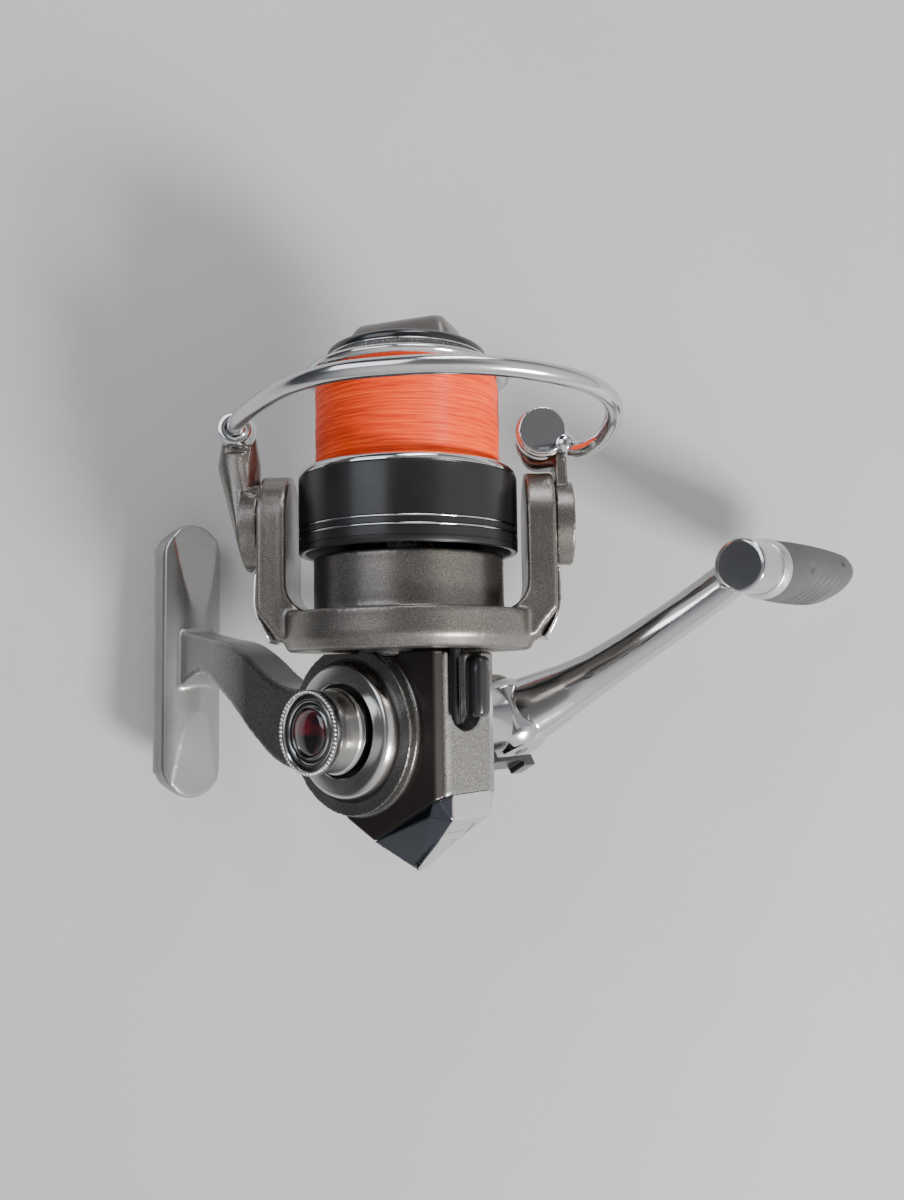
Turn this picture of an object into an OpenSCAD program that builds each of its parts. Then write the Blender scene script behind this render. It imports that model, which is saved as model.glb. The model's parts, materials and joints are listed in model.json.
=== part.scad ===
// Spinning reel: foot and body casting, geared crank handle, rotor with folding bail wire, and drag spool.
// Millimetres. Origin on the rod's axis over the middle of the foot, +Y to the rod tip, +Z away from the reel.

/* [Foot and stem] */
// Radius of the rod seat that the foot fits
seat_r = 8.5; // [8:0.1:9]
// Length of the foot
foot_length = 61; // [56:1:66]
// Width of the foot
foot_width = 14.8; // [14.4:0.1:15.2]
// Depth from the foot's saddle to the spool's axis
foot_drop = 67; // [64:1:72]
// Width of the stem
stem_w = 9; // [8:0.5:10]

/* [Body] */
// Width of the body over its side plate
body_w = 16; // [15.6:0.1:16.4]
// Thickness of the body's walls
wall = 1.5; // [1.2:0.1:1.6]
// Distance from the skirt's rear edge back to the crank's axis
crank_back = 31.4; // [31.2:0.1:31.6]
// Height of the crank's axis above the spool's axis
crank_rise = 6; // [5.9:0.1:6.2]

/* [Rotor] */
// Angle of the rotor about the spool's axis at rest
rotor_turn = 130; // [0:5:355]
// Radius of the rotor's base
rotor_r = 23; // [22.5:0.5:23.5]
// Radius of the rotor's cup inside the skirt
cup_r = 17.3; // [17:0.1:17.6]
// Distance of the rotor arms' inner faces from the axis
arm_in = 21.2; // [21:0.1:21.4]
// Distance of the rotor arms' outer faces from the axis
arm_out = 26.3; // [26.1:0.1:26.5]

/* [Spool] */
// Outer radius of the skirt
skirt_r = 20; // [19.6:0.1:20.2]
// Radius of the wound line
line_r = 17; // [14:0.5:17.5]
// Radius of the front lip
lip_r = 19; // [18.5:0.1:19.2]

/* [Bail] */
// Diameter of the bail wire
wire_d = 3; // [2.4:0.1:3.2]
// Height of the bail's pivot above the skirt's rear edge
pivot_y = 5.5; // [5.3:0.1:5.7]

/* [Handle] */
// Distance from the crank's axis to the knob's axis
crank_length = 59.3; // [50:0.5:62]
// Angle of the crank arm about the crank's axis at rest
crank_turn = 150.7; // [150:0.1:152]
// Length of the knob's grip
knob_length = 35.5; // [30:0.5:38]

/* [Gears] */
// Teeth of the drive gear
drive_teeth = 30; // [30:30]
// Teeth of the pinion
pinion_teeth = 6; // [6:6]

/* [Hidden] */
$fn = 96;

skirt_y = 17.3;                       // the skirt's rear edge, in front of the foot's middle
drop = foot_drop + seat_r;            // the spool's axis below the rod's axis
half_w = body_w / 2;
foot_thickness = 3.2;                 // under the middle of the saddle
toe_thickness = 1.3;                  // and at the ends of the toes
foot_rim = sqrt(seat_r * seat_r - foot_width * foot_width / 4);
plate_x = half_w - 1.6;               // the side plate's inner face
bottom = -14;                         // the body's bottom plane, from the spool's axis
front = -17.8;                        // the body's front face, from the skirt's rear edge
shaft_r = 1.6;
arbor_r = 13.5;                       // the spool's arbor, under the line
pinion_r = 3;                         // pitch radius
sleeve_r = 3.4;                       // the pinion's plain sleeve
helix = 50;                           // the pinion's helix angle
neck_r = 9.2;
bearing_r = 6.5;
crank_bearing_r = 6;
gear_sleeve_r = 3.5;
gear_ratio = drive_teeth / pinion_teeth;
tooth_depth = 0.74;
osc_module = 0.7;
osc_pinion_teeth = 12;
osc_teeth = 18;
osc_dy = -9;                          // the oscillation gear's centre from the crank's axis
osc_dz = -sqrt(pow(osc_module * (osc_pinion_teeth + osc_teeth) / 2, 2) - osc_dy * osc_dy);
osc_throw = 3.5;
pin_x = 36.5;                          // the fold pin's distance out from the body's middle plane
arm_x = 45;                           // the crank arm's distance out from the body's middle plane
roller_lat = 24.4;                    // the line roller across the rotor
roller_y = 21.4;                      // and in front of the skirt's rear edge
lever_lat = [-31, 23.1];              // the wire's collar on the left bail arm
clip = 0.02;

// ---- frames ----
// On the spool's axis: local +Z forward, local X the row's X, local Y downwards; z = 0 is the skirt's rear edge
module on_spool(z = 0) translate([0, skirt_y, -drop]) rotate([-90, 0, 0]) translate([0, 0, z]) children();
// The same, turned with the rotor: local X to the line roller's arm, local -Y to the bail wire
module on_rotor(z = 0) on_spool(z) rotate(rotor_turn) children();
// On the crank's axis: local +Z out through the handle side, local X along the crank arm
module on_crank(z = 0) translate([0, skirt_y - crank_back, crank_rise - drop]) rotate([0, -90, 0])
    rotate(crank_turn) translate([0, 0, z]) children();
// The body's side view: local X is Y from the skirt's rear edge, local Y is height from the spool's axis
module side_slab(x0, x1) translate([0, skirt_y, -drop]) rotate([90, 0, 90]) translate([0, 0, x0])
    linear_extrude(x1 - x0) children();
// Axes across the rotor (local X) and along the roller's pin (local -Y)
module across(x = 0) rotate([0, 90, 0]) translate([0, 0, x]) children();

// ---- shared shapes ----
module ring(r, hole, h) difference() {
    cylinder(r = r, h = h);
    translate([0, 0, -1]) cylinder(r = hole, h = h + 2);
}
module screw(r, h, shank_r, shank_h) {
    difference() {
        cylinder(r = r, h = h);
        translate([-r, -r / 6, h / 2]) cube([2 * r, r / 3, h]);
    }
    translate([0, 0, -shank_h]) cylinder(r = shank_r, h = shank_h + clip);
}
// A spur gear's outline, its flanks straight, cut back by play on each side
module spur_profile(teeth, mod, play) {
    step = 360 / teeth;
    half = step / 4 - play / (teeth * mod / 2) * 180 / PI / 2;
    r = teeth * mod / 2;
    polygon([for (i = [0:teeth - 1]) each [
        [(r - 1.1 * mod) * cos(i * step - half * 1.7), (r - 1.1 * mod) * sin(i * step - half * 1.7)],
        [(r + 0.8 * mod) * cos(i * step - half * 0.5), (r + 0.8 * mod) * sin(i * step - half * 0.5)],
        [(r + 0.8 * mod) * cos(i * step + half * 0.5), (r + 0.8 * mod) * sin(i * step + half * 0.5)],
        [(r - 1.1 * mod) * cos(i * step + half * 1.7), (r - 1.1 * mod) * sin(i * step + half * 1.7)]]]);
}
// A point on a smooth curve through a list of points
function between(p0, p1, p2, p3, t) = 0.5 * (2 * p1 + (p2 - p0) * t
    + (2 * p0 - 5 * p1 + 4 * p2 - p3) * t * t + (3 * p1 - p0 - 3 * p2 + p3) * t * t * t);
function smooth(p, steps) = let (n = len(p) - 1) [for (i = [0:n - 1], k = [0:steps - 1])
    between(p[max(i - 1, 0)], p[i], p[i + 1], p[min(i + 2, n)], k / steps), p[n]];
function unit(v) = v / norm(v);
function heading(p, i) = unit(p[min(i + 1, len(p) - 1)] - p[max(i - 1, 0)]);
// A tube of the given radius swept along a path, its ends flat
module tube(path, r, sides = 16) {
    n = len(path);
    up = [0, 0, 1];
    rings = [for (i = [0:n - 1]) let (t = heading(path, i), s = unit(cross(t, up)), u = cross(s, t))
        for (k = [0:sides - 1]) path[i] + r * (s * cos(360 * k / sides) + u * sin(360 * k / sides))];
    polyhedron(rings, concat(
        [[for (k = [0:sides - 1]) sides - 1 - k]],
        [for (i = [0:n - 2], k = [0:sides - 1]) let (a = i * sides + k, b = i * sides + (k + 1) % sides)
            [a, b, b + sides, a + sides]],
        [[for (k = [0:sides - 1]) (n - 1) * sides + k]]), convexity = 4);
}

// ---- body: casting, plate and covers ----
// The body's side outline without the rear cover, drawn in by inset all round
module body_outline(inset = 0) polygon([
    [front - inset, bottom + inset], [-42 + 0.4 * inset, bottom + inset],
    [-50.6 + 1.2 * inset, 1.6 - 0.2 * inset], [-47.6 + 1.1 * inset, 7.6 - 0.2 * inset],
    [-42.4 + 0.8 * inset, 15.6 - inset], [-37 + 0.6 * inset, 22.5 - inset],
    [-24.5 - 0.6 * inset, 22.5 - inset], [-21.5 - 0.6 * inset, 18 - inset],
    [front - inset, 14.2 - inset]]);
module stem_outline() polygon(concat(
    [for (p = smooth([[-23.6, 20], [-24, 27], [-22, 34], [-17.2, 41.5], [-14.2, 48], [-12.8, 56],
        [-11, 64.9]], 4)) p],
    [for (p = smooth([[-23.5, 64.9], [-20.2, 57.5], [-23.8, 51], [-28, 45.6], [-33, 40], [-37.5, 33.5],
        [-39.5, 27], [-38, 20]], 4)) p]));
// The foot: a bar with a concave saddle above and a crowned underside, its toes thinning to the ends
module foot() difference() {
    intersection() {
        translate([0, foot_length / 2, 0]) rotate([90, 0, 0]) difference() {
            cylinder(r = seat_r + foot_thickness, h = foot_length);
            translate([0, 0, -1]) cylinder(r = seat_r, h = foot_length + 2);
        }
        translate([0, 0, -seat_r - 4]) linear_extrude(seat_r + 5 - foot_rim) union() {
                square([foot_width, foot_length - foot_width], center = true);
                for (s = [-1, 1]) translate([0, s * (foot_length - foot_width) / 2])
                    circle(d = foot_width);
            }
    }
    for (s = [-1, 1]) translate([0, s * foot_length / 2, -seat_r - toe_thickness]) rotate([s * 5.6, 0, 0])
        translate([0, -s * 10, -3]) cube([30, 22, 6], center = true);
}
module body_housing() color("dimgray") difference() {
    union() {
        foot();
        intersection() {
            side_slab(-stem_w / 2, stem_w / 2) stem_outline();
            translate([-stem_w, -40, -seat_r - 50]) cube([2 * stem_w, 60, 49.2]);
        }
        difference() {
            side_slab(-half_w, plate_x) body_outline();
            side_slab(-half_w + wall, plate_x + 1) body_outline(wall);
        }
        on_spool(front - 0.6) cylinder(r = neck_r, h = 0.6 - 12 - front);
        switch_pocket();
        on_crank(half_w - 1) cylinder(r = 12.5, h = 6.5);
        rear_post();
        screw_posts();
        kick_block();
    }
    bottom_chamfers();
    on_spool(-30) cylinder(r = bearing_r, h = 17.2);
    on_spool(-13) cylinder(r = bearing_r - 0.8, h = 2);
    on_crank(half_w - wall - 1) cylinder(r = crank_bearing_r, h = 4.5);
    on_crank(half_w) cylinder(r = crank_bearing_r - 1.5, h = 10);
    switch_recess();
    at_switch(-31) cylinder(r = switch_r + 0.05, h = 22);
    rear_screw_axis() translate([0, 0, -6]) cylinder(r = 1.05, h = 8);
    for (p = screw_places) translate([0, skirt_y + p[0], p[1] - drop]) rotate([0, 90, 0])
        translate([0, 0, -half_w - 1]) { cylinder(r = 1.05, h = 20); cylinder(r = 1.8, h = 2); }
    for (a = retainer_angles) on_spool(-14) rotate(a) translate([7.9, 0, 0]) cylinder(r = 0.6, h = 3);
}
module bottom_chamfers() for (s = [-1, 1]) translate([0, skirt_y - 60, bottom - drop]) rotate([-90, 0, 0])
    linear_extrude(80) polygon([[s * 5.1, 0.01], [s * 8.01, -1.3], [s * 9, -1.3], [s * 9, 1], [s * 5.1, 1]]);
screw_places = [[-20, 14.2], [-37.6, -10.9], [-38.6, 17.4]];
module rear_post() translate([0, skirt_y, -drop]) intersection() {
    translate([0, -49.5, -5]) rotate([39, 0, 0]) translate([-2.6, -4, -5]) cube([5.2, 6, 7]);
    translate([-9, -49, -13]) cube([18, 10, 16]);
}
module screw_posts() intersection() {
    for (p = screw_places) translate([0, skirt_y + p[0], p[1] - drop]) rotate([0, 90, 0])
        translate([0, 0, -half_w + 0.5]) cylinder(r = 2, h = half_w + plate_x - 0.6);
    side_slab(-half_w, plate_x) body_outline(0.4);
}
module switch_pocket() translate([-4.6, skirt_y - 32.2, bottom - drop + 0.5])
    cube([plate_x + 4.5, 32.2 + front - 0.4, 4.6]);
module kick_block() on_spool(front) rotate(-90) translate([11.2, -2, -1]) cube([2.6, 4, 1.5]);

module side_plate() color([0.16, 0.12, 0.11]) difference() {
    union() {
        side_slab(plate_x, half_w) body_outline();
        on_crank(-half_w - 2) cylinder(r = 15, h = 2.6);
        on_crank(-half_w - 2) cylinder(r1 = 12.4, r2 = 12.6, h = 2.6);
    }
    bottom_chamfers();
    on_spool(front) cylinder(r = 30, h = 6);
    on_spool(front - 0.7) cylinder(r = neck_r + 0.1, h = 2);
    on_crank(-half_w - 0.6) cylinder(r = crank_bearing_r, h = 4);
    on_crank(-half_w - 5) cylinder(r = crank_bearing_r - 1.5, h = 8);
    for (p = screw_places) translate([0, skirt_y + p[0], p[1] - drop]) rotate([0, 90, 0])
        translate([0, 0, plate_x - 1]) cylinder(r = 1.05, h = 1.8);
    translate([plate_x - 1, skirt_y - crank_back + osc_dy, crank_rise + osc_dz - drop])
        rotate([0, 90, 0]) cylinder(r = 1.2, h = 1.9);
}
module housing_screws() color("silver") for (p = screw_places) translate([0, skirt_y + p[0], p[1] - drop])
    rotate([0, -90, 0]) translate([0, 0, half_w - 1]) screw(1.8, 1, 1, half_w + plate_x - 0.4);
module cap_collar() color("silver") on_crank(-half_w - 4.2) difference() {
    cylinder(r1 = 11.6, r2 = 12.2, h = 2.2);
    translate([0, 0, -1]) cylinder(r = 8.3, h = 5);
}
// The rear cover: a faceted cap whose sides run together to a point
module cover_hull(g) hull() translate([0, skirt_y, -drop]) {
    for (s = [-1, 1]) {
        translate([s * (half_w - g), -42 + 0.4 * g, bottom + 1.3 + g]) cube(0.02, center = true);
        translate([s * (5.1 - 0.6 * g), -42 + 0.4 * g, bottom + g]) cube(0.02, center = true);
        translate([s * (5.1 - 0.6 * g), -46.2 + g, bottom + g]) cube(0.02, center = true);
        translate([s * (half_w - g), -45.4 + g, bottom + 2.6 + g]) cube(0.02, center = true);
        translate([s * (half_w - g), -50.7 + 1.5 * g, 1.6 - g]) cube(0.02, center = true);
    }
    translate([0, -56.6 + 2.2 * g, -1.6]) cube(0.02, center = true);
}
module rear_cover() color("gainsboro") difference() {
    cover_hull(0);
    difference() {
        cover_hull(1.4);
        rear_screw_axis() translate([0, 0, -6]) cylinder(r = 2.6, h = 7);
    }
    side_slab(-9, 9) body_outline();
    rear_screw_axis() translate([0, 0, -9]) cylinder(r = 1.1, h = 12);
    rear_screw_axis() translate([0, 0, -0.6]) cylinder(r = 2, h = 4);
    side_slab(-3, 3) polygon([[-52.6, -3], [-48.6, -13], [-43.8, -11], [-46.8, -1]]);
}
module rear_screw_axis() translate([0, skirt_y - 51.1, -7.4 - drop]) rotate([129, 0, 0]) children();
module rear_cover_screw() color("silver") rear_screw_axis() translate([0, 0, -0.6]) screw(1.9, 0.8, 1, 4.5);

// ---- bearings and the anti-reverse ----
module bearing(r, hole, h) {
    ring(r, r - 1.1, h);
    ring(hole + 1.1, hole, h);
    translate([0, 0, h * 0.15]) ring(r - 1.1 + clip, hole + 1.1 - clip, h * 0.7);
}
module pinion_bearing() color("lightsteelblue") on_spool(-16.8) bearing(bearing_r, sleeve_r + 0.05, 3.9);
retainer_angles = [30, 150, 270];
module bearing_retainer() color("gray") on_spool(-12) difference() {
    ring(neck_r - 0.1, 4.6, 0.7);
    for (a = retainer_angles) rotate(a) translate([7.9, 0, -1]) cylinder(r = 0.6, h = 3);
}
module retainer_screws() color("silver") for (a = retainer_angles) on_spool(-11.3) rotate(a)
    translate([7.9, 0, 0]) screw(1.1, 0.4, 0.6, 2.6);
module crank_bearings() color("lightsteelblue") {
    on_crank(half_w - wall) bearing(crank_bearing_r, gear_sleeve_r + 0.05, 3);
    on_crank(-half_w - 0.6) bearing(crank_bearing_r, gear_sleeve_r + 0.05, 3);
}
module oscillation_axle() color("silver") translate([plate_x - 2.2, skirt_y - crank_back + osc_dy,
    crank_rise + osc_dz - drop]) rotate([0, 90, 0]) cylinder(r = 1.2, h = 3);

// The anti-reverse lever lies in a recess under the body, on a shaft that runs forward to the pawl
switch_r = 1.2;
switch_at = [0.6, -10.9];
module at_switch(z) translate([switch_at[0], skirt_y + z, switch_at[1] - drop]) rotate([-90, 0, 0]) children();
module switch_recess() difference() {
    translate([1, skirt_y, bottom - drop - 1]) linear_extrude(4.1) union() {
        translate([-4.2, -27.2]) square([8.4, 9.9]);
        translate([0, -27.2]) circle(r = 4.2);
    }
    translate([-10, skirt_y - 17.6, bottom - drop - 2]) cube([20, 3, 8]);
}
module antireverse_lever() color("dimgray") {
    at_switch(-30.5) cylinder(r = switch_r, h = 21.1);
    translate([0, skirt_y, -drop]) {
        translate([-2.05, -29.2, bottom - 1.6]) cube([3.85, 10.6, 3.2]);
        translate([-1.4, -28.6, bottom + 0.2]) cube([3.4, 9.4, 2.4]);
    }
}
// The pawl is fixed to the lever's shaft and drops into the ratchet wheel when the lever is thrown
module antireverse_pawl() color("silver") on_spool(-10.65) difference() {
    union() {
        translate([switch_at[0], -switch_at[1], 0]) cylinder(r = 2, h = 1.2);
        translate([switch_at[0], -switch_at[1], 0]) rotate(6.5) linear_extrude(1.2)
            polygon([[-1.8, 0.7], [0, -1.6], [-4, -2], [-4.85, -2.2], [-4.95, -1.6], [-4, 0.1]]);
    }
    translate([switch_at[0], -switch_at[1], -1]) cylinder(r = switch_r, h = 4);
}

// ---- crank, gears and handle ----
// One tooth's centre line on the drive gear: where the pinion's helix crosses its lowest line as both turn
function tooth_at(t, phase) = let (y = 7.4 - pinion_r * gear_ratio / tan(helix) * t * PI / 180)
    [y * cos(phase + t) + crank_rise * sin(phase + t), y * sin(phase + t) - crank_rise * cos(phase + t)];
tooth_t = [for (t = [-8:4:8]) t];
module crown_tooth(phase) {
    n = len(tooth_t);
    mid = [for (t = tooth_t) tooth_at(t, phase)];
    side = [for (i = [0:n - 1]) let (h = mid[min(i + 1, n - 1)] - mid[max(i - 1, 0)])
        [-h[1], h[0]] / norm(h)];
    foot_half = 0.3;
    tip_half = 0.1;
    pts = [for (i = [0:n - 1]) each [
        [mid[i][0] - side[i][0] * foot_half, mid[i][1] - side[i][1] * foot_half, -0.2],
        [mid[i][0] + side[i][0] * foot_half, mid[i][1] + side[i][1] * foot_half, -0.2],
        [mid[i][0] + side[i][0] * tip_half, mid[i][1] + side[i][1] * tip_half, tooth_depth],
        [mid[i][0] - side[i][0] * tip_half, mid[i][1] - side[i][1] * tip_half, tooth_depth]]];
    polyhedron(pts, concat([[0, 1, 2, 3]], [for (i = [0:n - 2], k = [0:3])
        [4 * i + k, 4 * (i + 1) + k, 4 * (i + 1) + (k + 1) % 4, 4 * i + (k + 1) % 4]],
        [[4 * n - 1, 4 * n - 2, 4 * n - 3, 4 * n - 4]]), convexity = 3);
}
// In the drive gear's frame local X is the row's Y and local Y the row's Z
module on_gear(x) translate([x, skirt_y - crank_back, crank_rise - drop]) rotate([90, 0, 90]) children();
module drive_gear() color("darkgoldenrod") {
    difference() {
        union() {
            on_gear(-pinion_r - 2.9) cylinder(r = 11.3, h = 2.2);
            on_gear(-11) cylinder(r = gear_sleeve_r, h = 22);
            on_gear(2.8) linear_extrude(1.8) spur_profile(osc_pinion_teeth, osc_module, 0.12);
        }
        on_crank(-12) cylinder(r = 2.76, h = 24, $fn = 6);
        on_gear(-pinion_r - 1.2) ring(7, gear_sleeve_r + 1.4, 1);
    }
    for (i = [0:drive_teeth - 1]) on_gear(-pinion_r - 0.7) crown_tooth(360 * i / drive_teeth);
}
module crank_shaft() color("silver") on_crank(-14.5) {
    cylinder(r = 2.7, h = 30, $fn = 6);
    translate([0, 0, -3]) cylinder(r = 2, h = 3);
}
module screw_cap() color("silver") on_crank(-19.8) difference() {
    union() {
        translate([0, 0, 1.2]) cylinder(r1 = 7.3, r2 = 6.2, h = 1.2);
        translate([0, 0, 2]) cylinder(r = 6.3, h = 4.6);
        cylinder(r = 7.36, h = 1.6);
        translate([0, 0, 6.4]) cylinder(r = 7.6, h = 1.1);
    }
    translate([0, 0, 2.3]) cylinder(r = 2.05, h = 8);
    translate([0, 0, 5.3]) cylinder(r = 3.2, h = 8);
    translate([0, 0, -1]) cylinder(r = 4.2, h = 2.2);
}
module cap_lens() color([0.35, 0.08, 0.1]) on_crank(-19.5) cylinder(r = 4.15, h = 0.9);

// The hub ends in a tongue, and the arm's drum folds on it about the pin
drum_r = 7.4;
fold_range = 36;
module fold_axis() translate([0, 0, pin_x]) rotate([90, 0, 0]) children();
module handle_hub() color("silver") on_crank() difference() {
    union() {
        difference() {
            union() {
                translate([0, 0, 14.2]) cylinder(r1 = 6.6, r2 = 7.6, h = 1.4);
                translate([0, 0, 15.5]) cylinder(r = 7.6, h = 13.7);
            }
            fold_axis() translate([0, 0, -9]) cylinder(r = drum_r + 0.15, h = 18);
        }
        intersection() {
            fold_axis() translate([0, 0, -2.4]) cylinder(r = drum_r - 0.2, h = 4.8);
            translate([-9, -9, 20]) cube([18, 18, pin_x - 20 - 1.2]);
        }
        translate([-5, -2.4, 24]) cube([10, 4.8, 6.4]);
        fold_axis() translate([0, 0, -2.4]) cylinder(r = 4, h = 4.8);
    }
    fold_axis() translate([0, 0, -9]) cylinder(r = 1.55, h = 18);
    translate([0, 0, 10]) cylinder(r = 2.7, h = 5.5, $fn = 6);
    lock_place() translate([-1.7, -1.7, -3.2]) cube([3.4, 3.4, 6]);
}
module fold_pin() color("silver") on_crank() fold_axis() {
    translate([0, 0, -7.5]) cylinder(r = 1.5, h = 15.2);
    translate([0, 0, 7.62]) intersection() {
        cylinder(r = 3.9, h = 3);
        translate([0, 0, -1.6]) sphere(r = 4.6);
    }
}
// The lock lever stands on the hub's rear face and reaches under the drum, across from the pin's domed head
module lock_place() translate([0, 7.4, 24.4]) rotate([-90, 0, 0]) children();
module lock_lever() color("dimgray") on_crank() lock_place() {
    translate([-1.6, -1.6, -1]) cube([3.2, 3.2, 2.8]);
    translate([-2.1, -11.5, 1.5]) cube([4.2, 13.4, 1.1]);
    translate([-2.1, -12, 1.5]) cube([4.2, 3.8, 2.4]);
}
arm_path = smooth([[4, 0, pin_x + 2], [10, 0, pin_x + 5.1], [18, 0, pin_x + 7.3], [30, 0, arm_x + 0.1],
    [44, 0, arm_x + 0.1], [crank_length - 1, 0, arm_x - 1]], 4);
module handle_arm() color("gainsboro") on_crank() difference() {
    union() {
        tube(arm_path, 3.9, 16);
        fold_axis() translate([0, 0, -7.4]) cylinder(r = drum_r, h = 14.8);
        hull() {
            translate([1.6, 0, pin_x + 1]) sphere(r = 6.6, $fn = 32);
            translate([8, 0, pin_x + 4]) sphere(r = 5.4, $fn = 32);
        }
        hull() {
            translate([8, 0, pin_x + 4]) sphere(r = 5.4, $fn = 32);
            translate([21, 0, pin_x + 7.6]) sphere(r = 4.1, $fn = 32);
        }
        translate([crank_length, 0, arm_x - 5]) cylinder(r = 5.1, h = 8.2);
    }
    fold_axis() translate([0, 0, -9]) cylinder(r = 1.55, h = 18);
    for (a = [0:6:fold_range]) fold_axis() rotate(a) translate([-12, -12, -2.55]) cube([24, 10.9, 5.1]);
    fold_axis() translate([0, 0, -2.55]) cylinder(r = 4.15, h = 5.1);
    translate([crank_length, 0, arm_x - 6]) cylinder(r = 1.75, h = 12);
    translate([crank_length, 0, arm_x - 6]) cylinder(r = 3.8, h = 2);
}
module knob_spindle() color("gray") on_crank() translate([crank_length, 0, arm_x - 4.8]) {
    cylinder(r = 3.4, h = 0.8);
    cylinder(r = 1.75, h = 8.2);
    translate([0, 0, 8.2 - clip]) cylinder(r = 1.7, h = 28);
}
module knob_collar() color("silver") on_crank() translate([crank_length, 0, arm_x + 3.5])
    difference() {
        cylinder(r1 = 5.2, r2 = 6, h = 2.4);
        translate([0, 0, -1]) cylinder(r = 1.76, h = 5);
    }
module handle_knob() color([0.3, 0.31, 0.32]) on_crank() translate([crank_length, 0, arm_x + 5.9])
    difference() {
        hull() {
            cylinder(r = 5.6, h = 1, $fn = 32);
            translate([0, 0, 14]) scale([1, 0.72, 1]) cylinder(r = 7, h = 1, $fn = 32);
            translate([0, 0, knob_length - 5]) scale([1, 0.62, 1]) cylinder(r = 7.2, h = 2, $fn = 32);
            translate([0, 0, knob_length - 1]) scale([1, 0.5, 1]) cylinder(r = 5.6, h = 1, $fn = 32);
        }
        translate([0, 0, -1]) cylinder(r = 1.78, h = 28.5);
    }

// ---- oscillation and main shaft ----
module oscillation_gear() color("goldenrod") on_gear(2.8) translate([osc_dy, osc_dz, 0]) {
    difference() {
        rotate(atan2(-osc_dz, -osc_dy) + 180 / osc_teeth) linear_extrude(1.8)
            spur_profile(osc_teeth, osc_module, 0.12);
        translate([0, 0, 0.5]) cylinder(r = 1.25, h = 3);
    }
    translate([osc_throw, 0, -0.35]) cylinder(r = 1, h = 0.4);
}
module main_shaft() color("silver") difference() {
    on_spool(-39.5) cylinder(r = shaft_r, h = 77.5);
    on_spool(18.6) rotate([0, 90, 0]) translate([0, 0, -4]) cylinder(r = 0.7, h = 8);
}
module oscillation_slider() color("burlywood") on_spool(-38.7) difference() {
    translate([-2.4, -4.4, 0]) cube([4.6, 8, 3.6]);
    translate([0, 0, -1]) cylinder(r = shaft_r, h = 8);
    translate([1.75, -5, 0.7]) cube([2, 12, 2.2]);
}
module shaft_pin() color("silver") on_spool(18.6) rotate([0, 90, 0]) translate([0, 0, -4]) cylinder(r = 0.7, h = 8);

// ---- rotor ----
module pinion_gear() color("goldenrod") difference() {
    union() {
        on_spool(-28.6) linear_extrude(7.2, twist = 7.2 * pinion_lead, slices = 18)
            rotate(pinion_phase) pinion_profile();
        on_spool(-21.5) cylinder(r = sleeve_r, h = 23.9);
    }
    on_spool(-30) cylinder(r = shaft_r + 0.06, h = 34);
}
pinion_lead = tan(helix) / pinion_r * 180 / PI;      // degrees of helix to a millimetre
pinion_phase = 150 + (28.6 - 24) * pinion_lead;      // a gap faces the drive gear where they mesh
module pinion_profile() {
    step = 360 / pinion_teeth;
    polygon([for (i = [0:pinion_teeth - 1]) each [
        for (w = [[2.35, -16], [3.42, -4.6], [3.42, 4.6], [2.35, 16]])
            [w[0] * cos(i * step + w[1]), w[0] * sin(i * step + w[1])]]]);
}
module ratchet_wheel() color("silver") on_spool(-10.75) difference() {
    linear_extrude(1.4) polygon([for (i = [0:17]) each [
        [7.4 * cos(20 * i), 7.4 * sin(20 * i)], [8.3 * cos(20 * i + 16), 8.3 * sin(20 * i + 16)],
        [7.4 * cos(20 * i + 17.5), 7.4 * sin(20 * i + 17.5)]]]);
    translate([0, 0, -1]) cylinder(r = sleeve_r, h = 4);
}
// One rotor arm: a rounded plate from the base up to the bail's pivot
module arm_plate(x0, x1, r) across() translate([0, 0, x0]) linear_extrude(x1 - x0) union() {
    translate([-pivot_y, 0]) circle(r = r);
    translate([-pivot_y, -r]) square([pivot_y + 15.4, 2 * r]);
}
module rotor() color("gray") on_rotor() difference() {
    union() {
        translate([0, 0, -17.4]) cylinder(r1 = rotor_r - 1.2, r2 = rotor_r, h = 2);
        translate([0, 0, -15.5]) cylinder(r = rotor_r, h = 4.8);
        translate([0, 0, -12]) cylinder(r = cup_r, h = 11.4);
        for (s = [0, 180]) rotate(s) intersection() {
            arm_plate(arm_in - 6, arm_out, 9.3);
            union() {
                translate([0, 0, -16]) cylinder(r1 = 23.4, r2 = 28, h = 6.2);
                translate([0, 0, -9.9]) cylinder(r = 28.1, h = 30);
            }
            union() {
                translate([arm_in, -20, -20]) cube([20, 40, 50]);
                translate([0, -20, -20]) cube([25, 40, 9.4]);
            }
        }
        for (s = [0, 180]) rotate(s) difference() {
            translate([arm_in - 5, -9.2, -11]) cube([5.4, 18.4, 5.3]);
            translate([arm_in - 5.05, 0, -5.65]) rotate([90, 0, 0]) translate([0, 0, -12]) cylinder(r = 5, h = 24);
        }
    }
    difference() {
        translate([0, 0, -18]) cylinder(r = 15.6, h = 15);
        translate([0, 0, -9.3]) cylinder(r = 5.4, h = 8);
    }
    translate([0, 0, -10]) cylinder(r = sleeve_r + 0.01, h = 12);
    for (s = [-1, 1]) across() translate([-pivot_y, 0, s > 0 ? arm_out - 3.6 : -arm_out]) cylinder(r = 1.25, h = 3.6);
    across() translate([-pivot_y, 0, -arm_out - 1]) ring(7, 2.6, 2.6);
    translate([22, -1.3, -20]) cube([1.4, 2.6, 21]);
    translate([12, -1.3, -20]) cube([11.4, 2.6, 5.8]);
    for (s = [0, 180]) rotate(s) across(arm_out - 2) translate([7.6, 0, 0]) cylinder(r = 0.8, h = 4);
}
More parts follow.
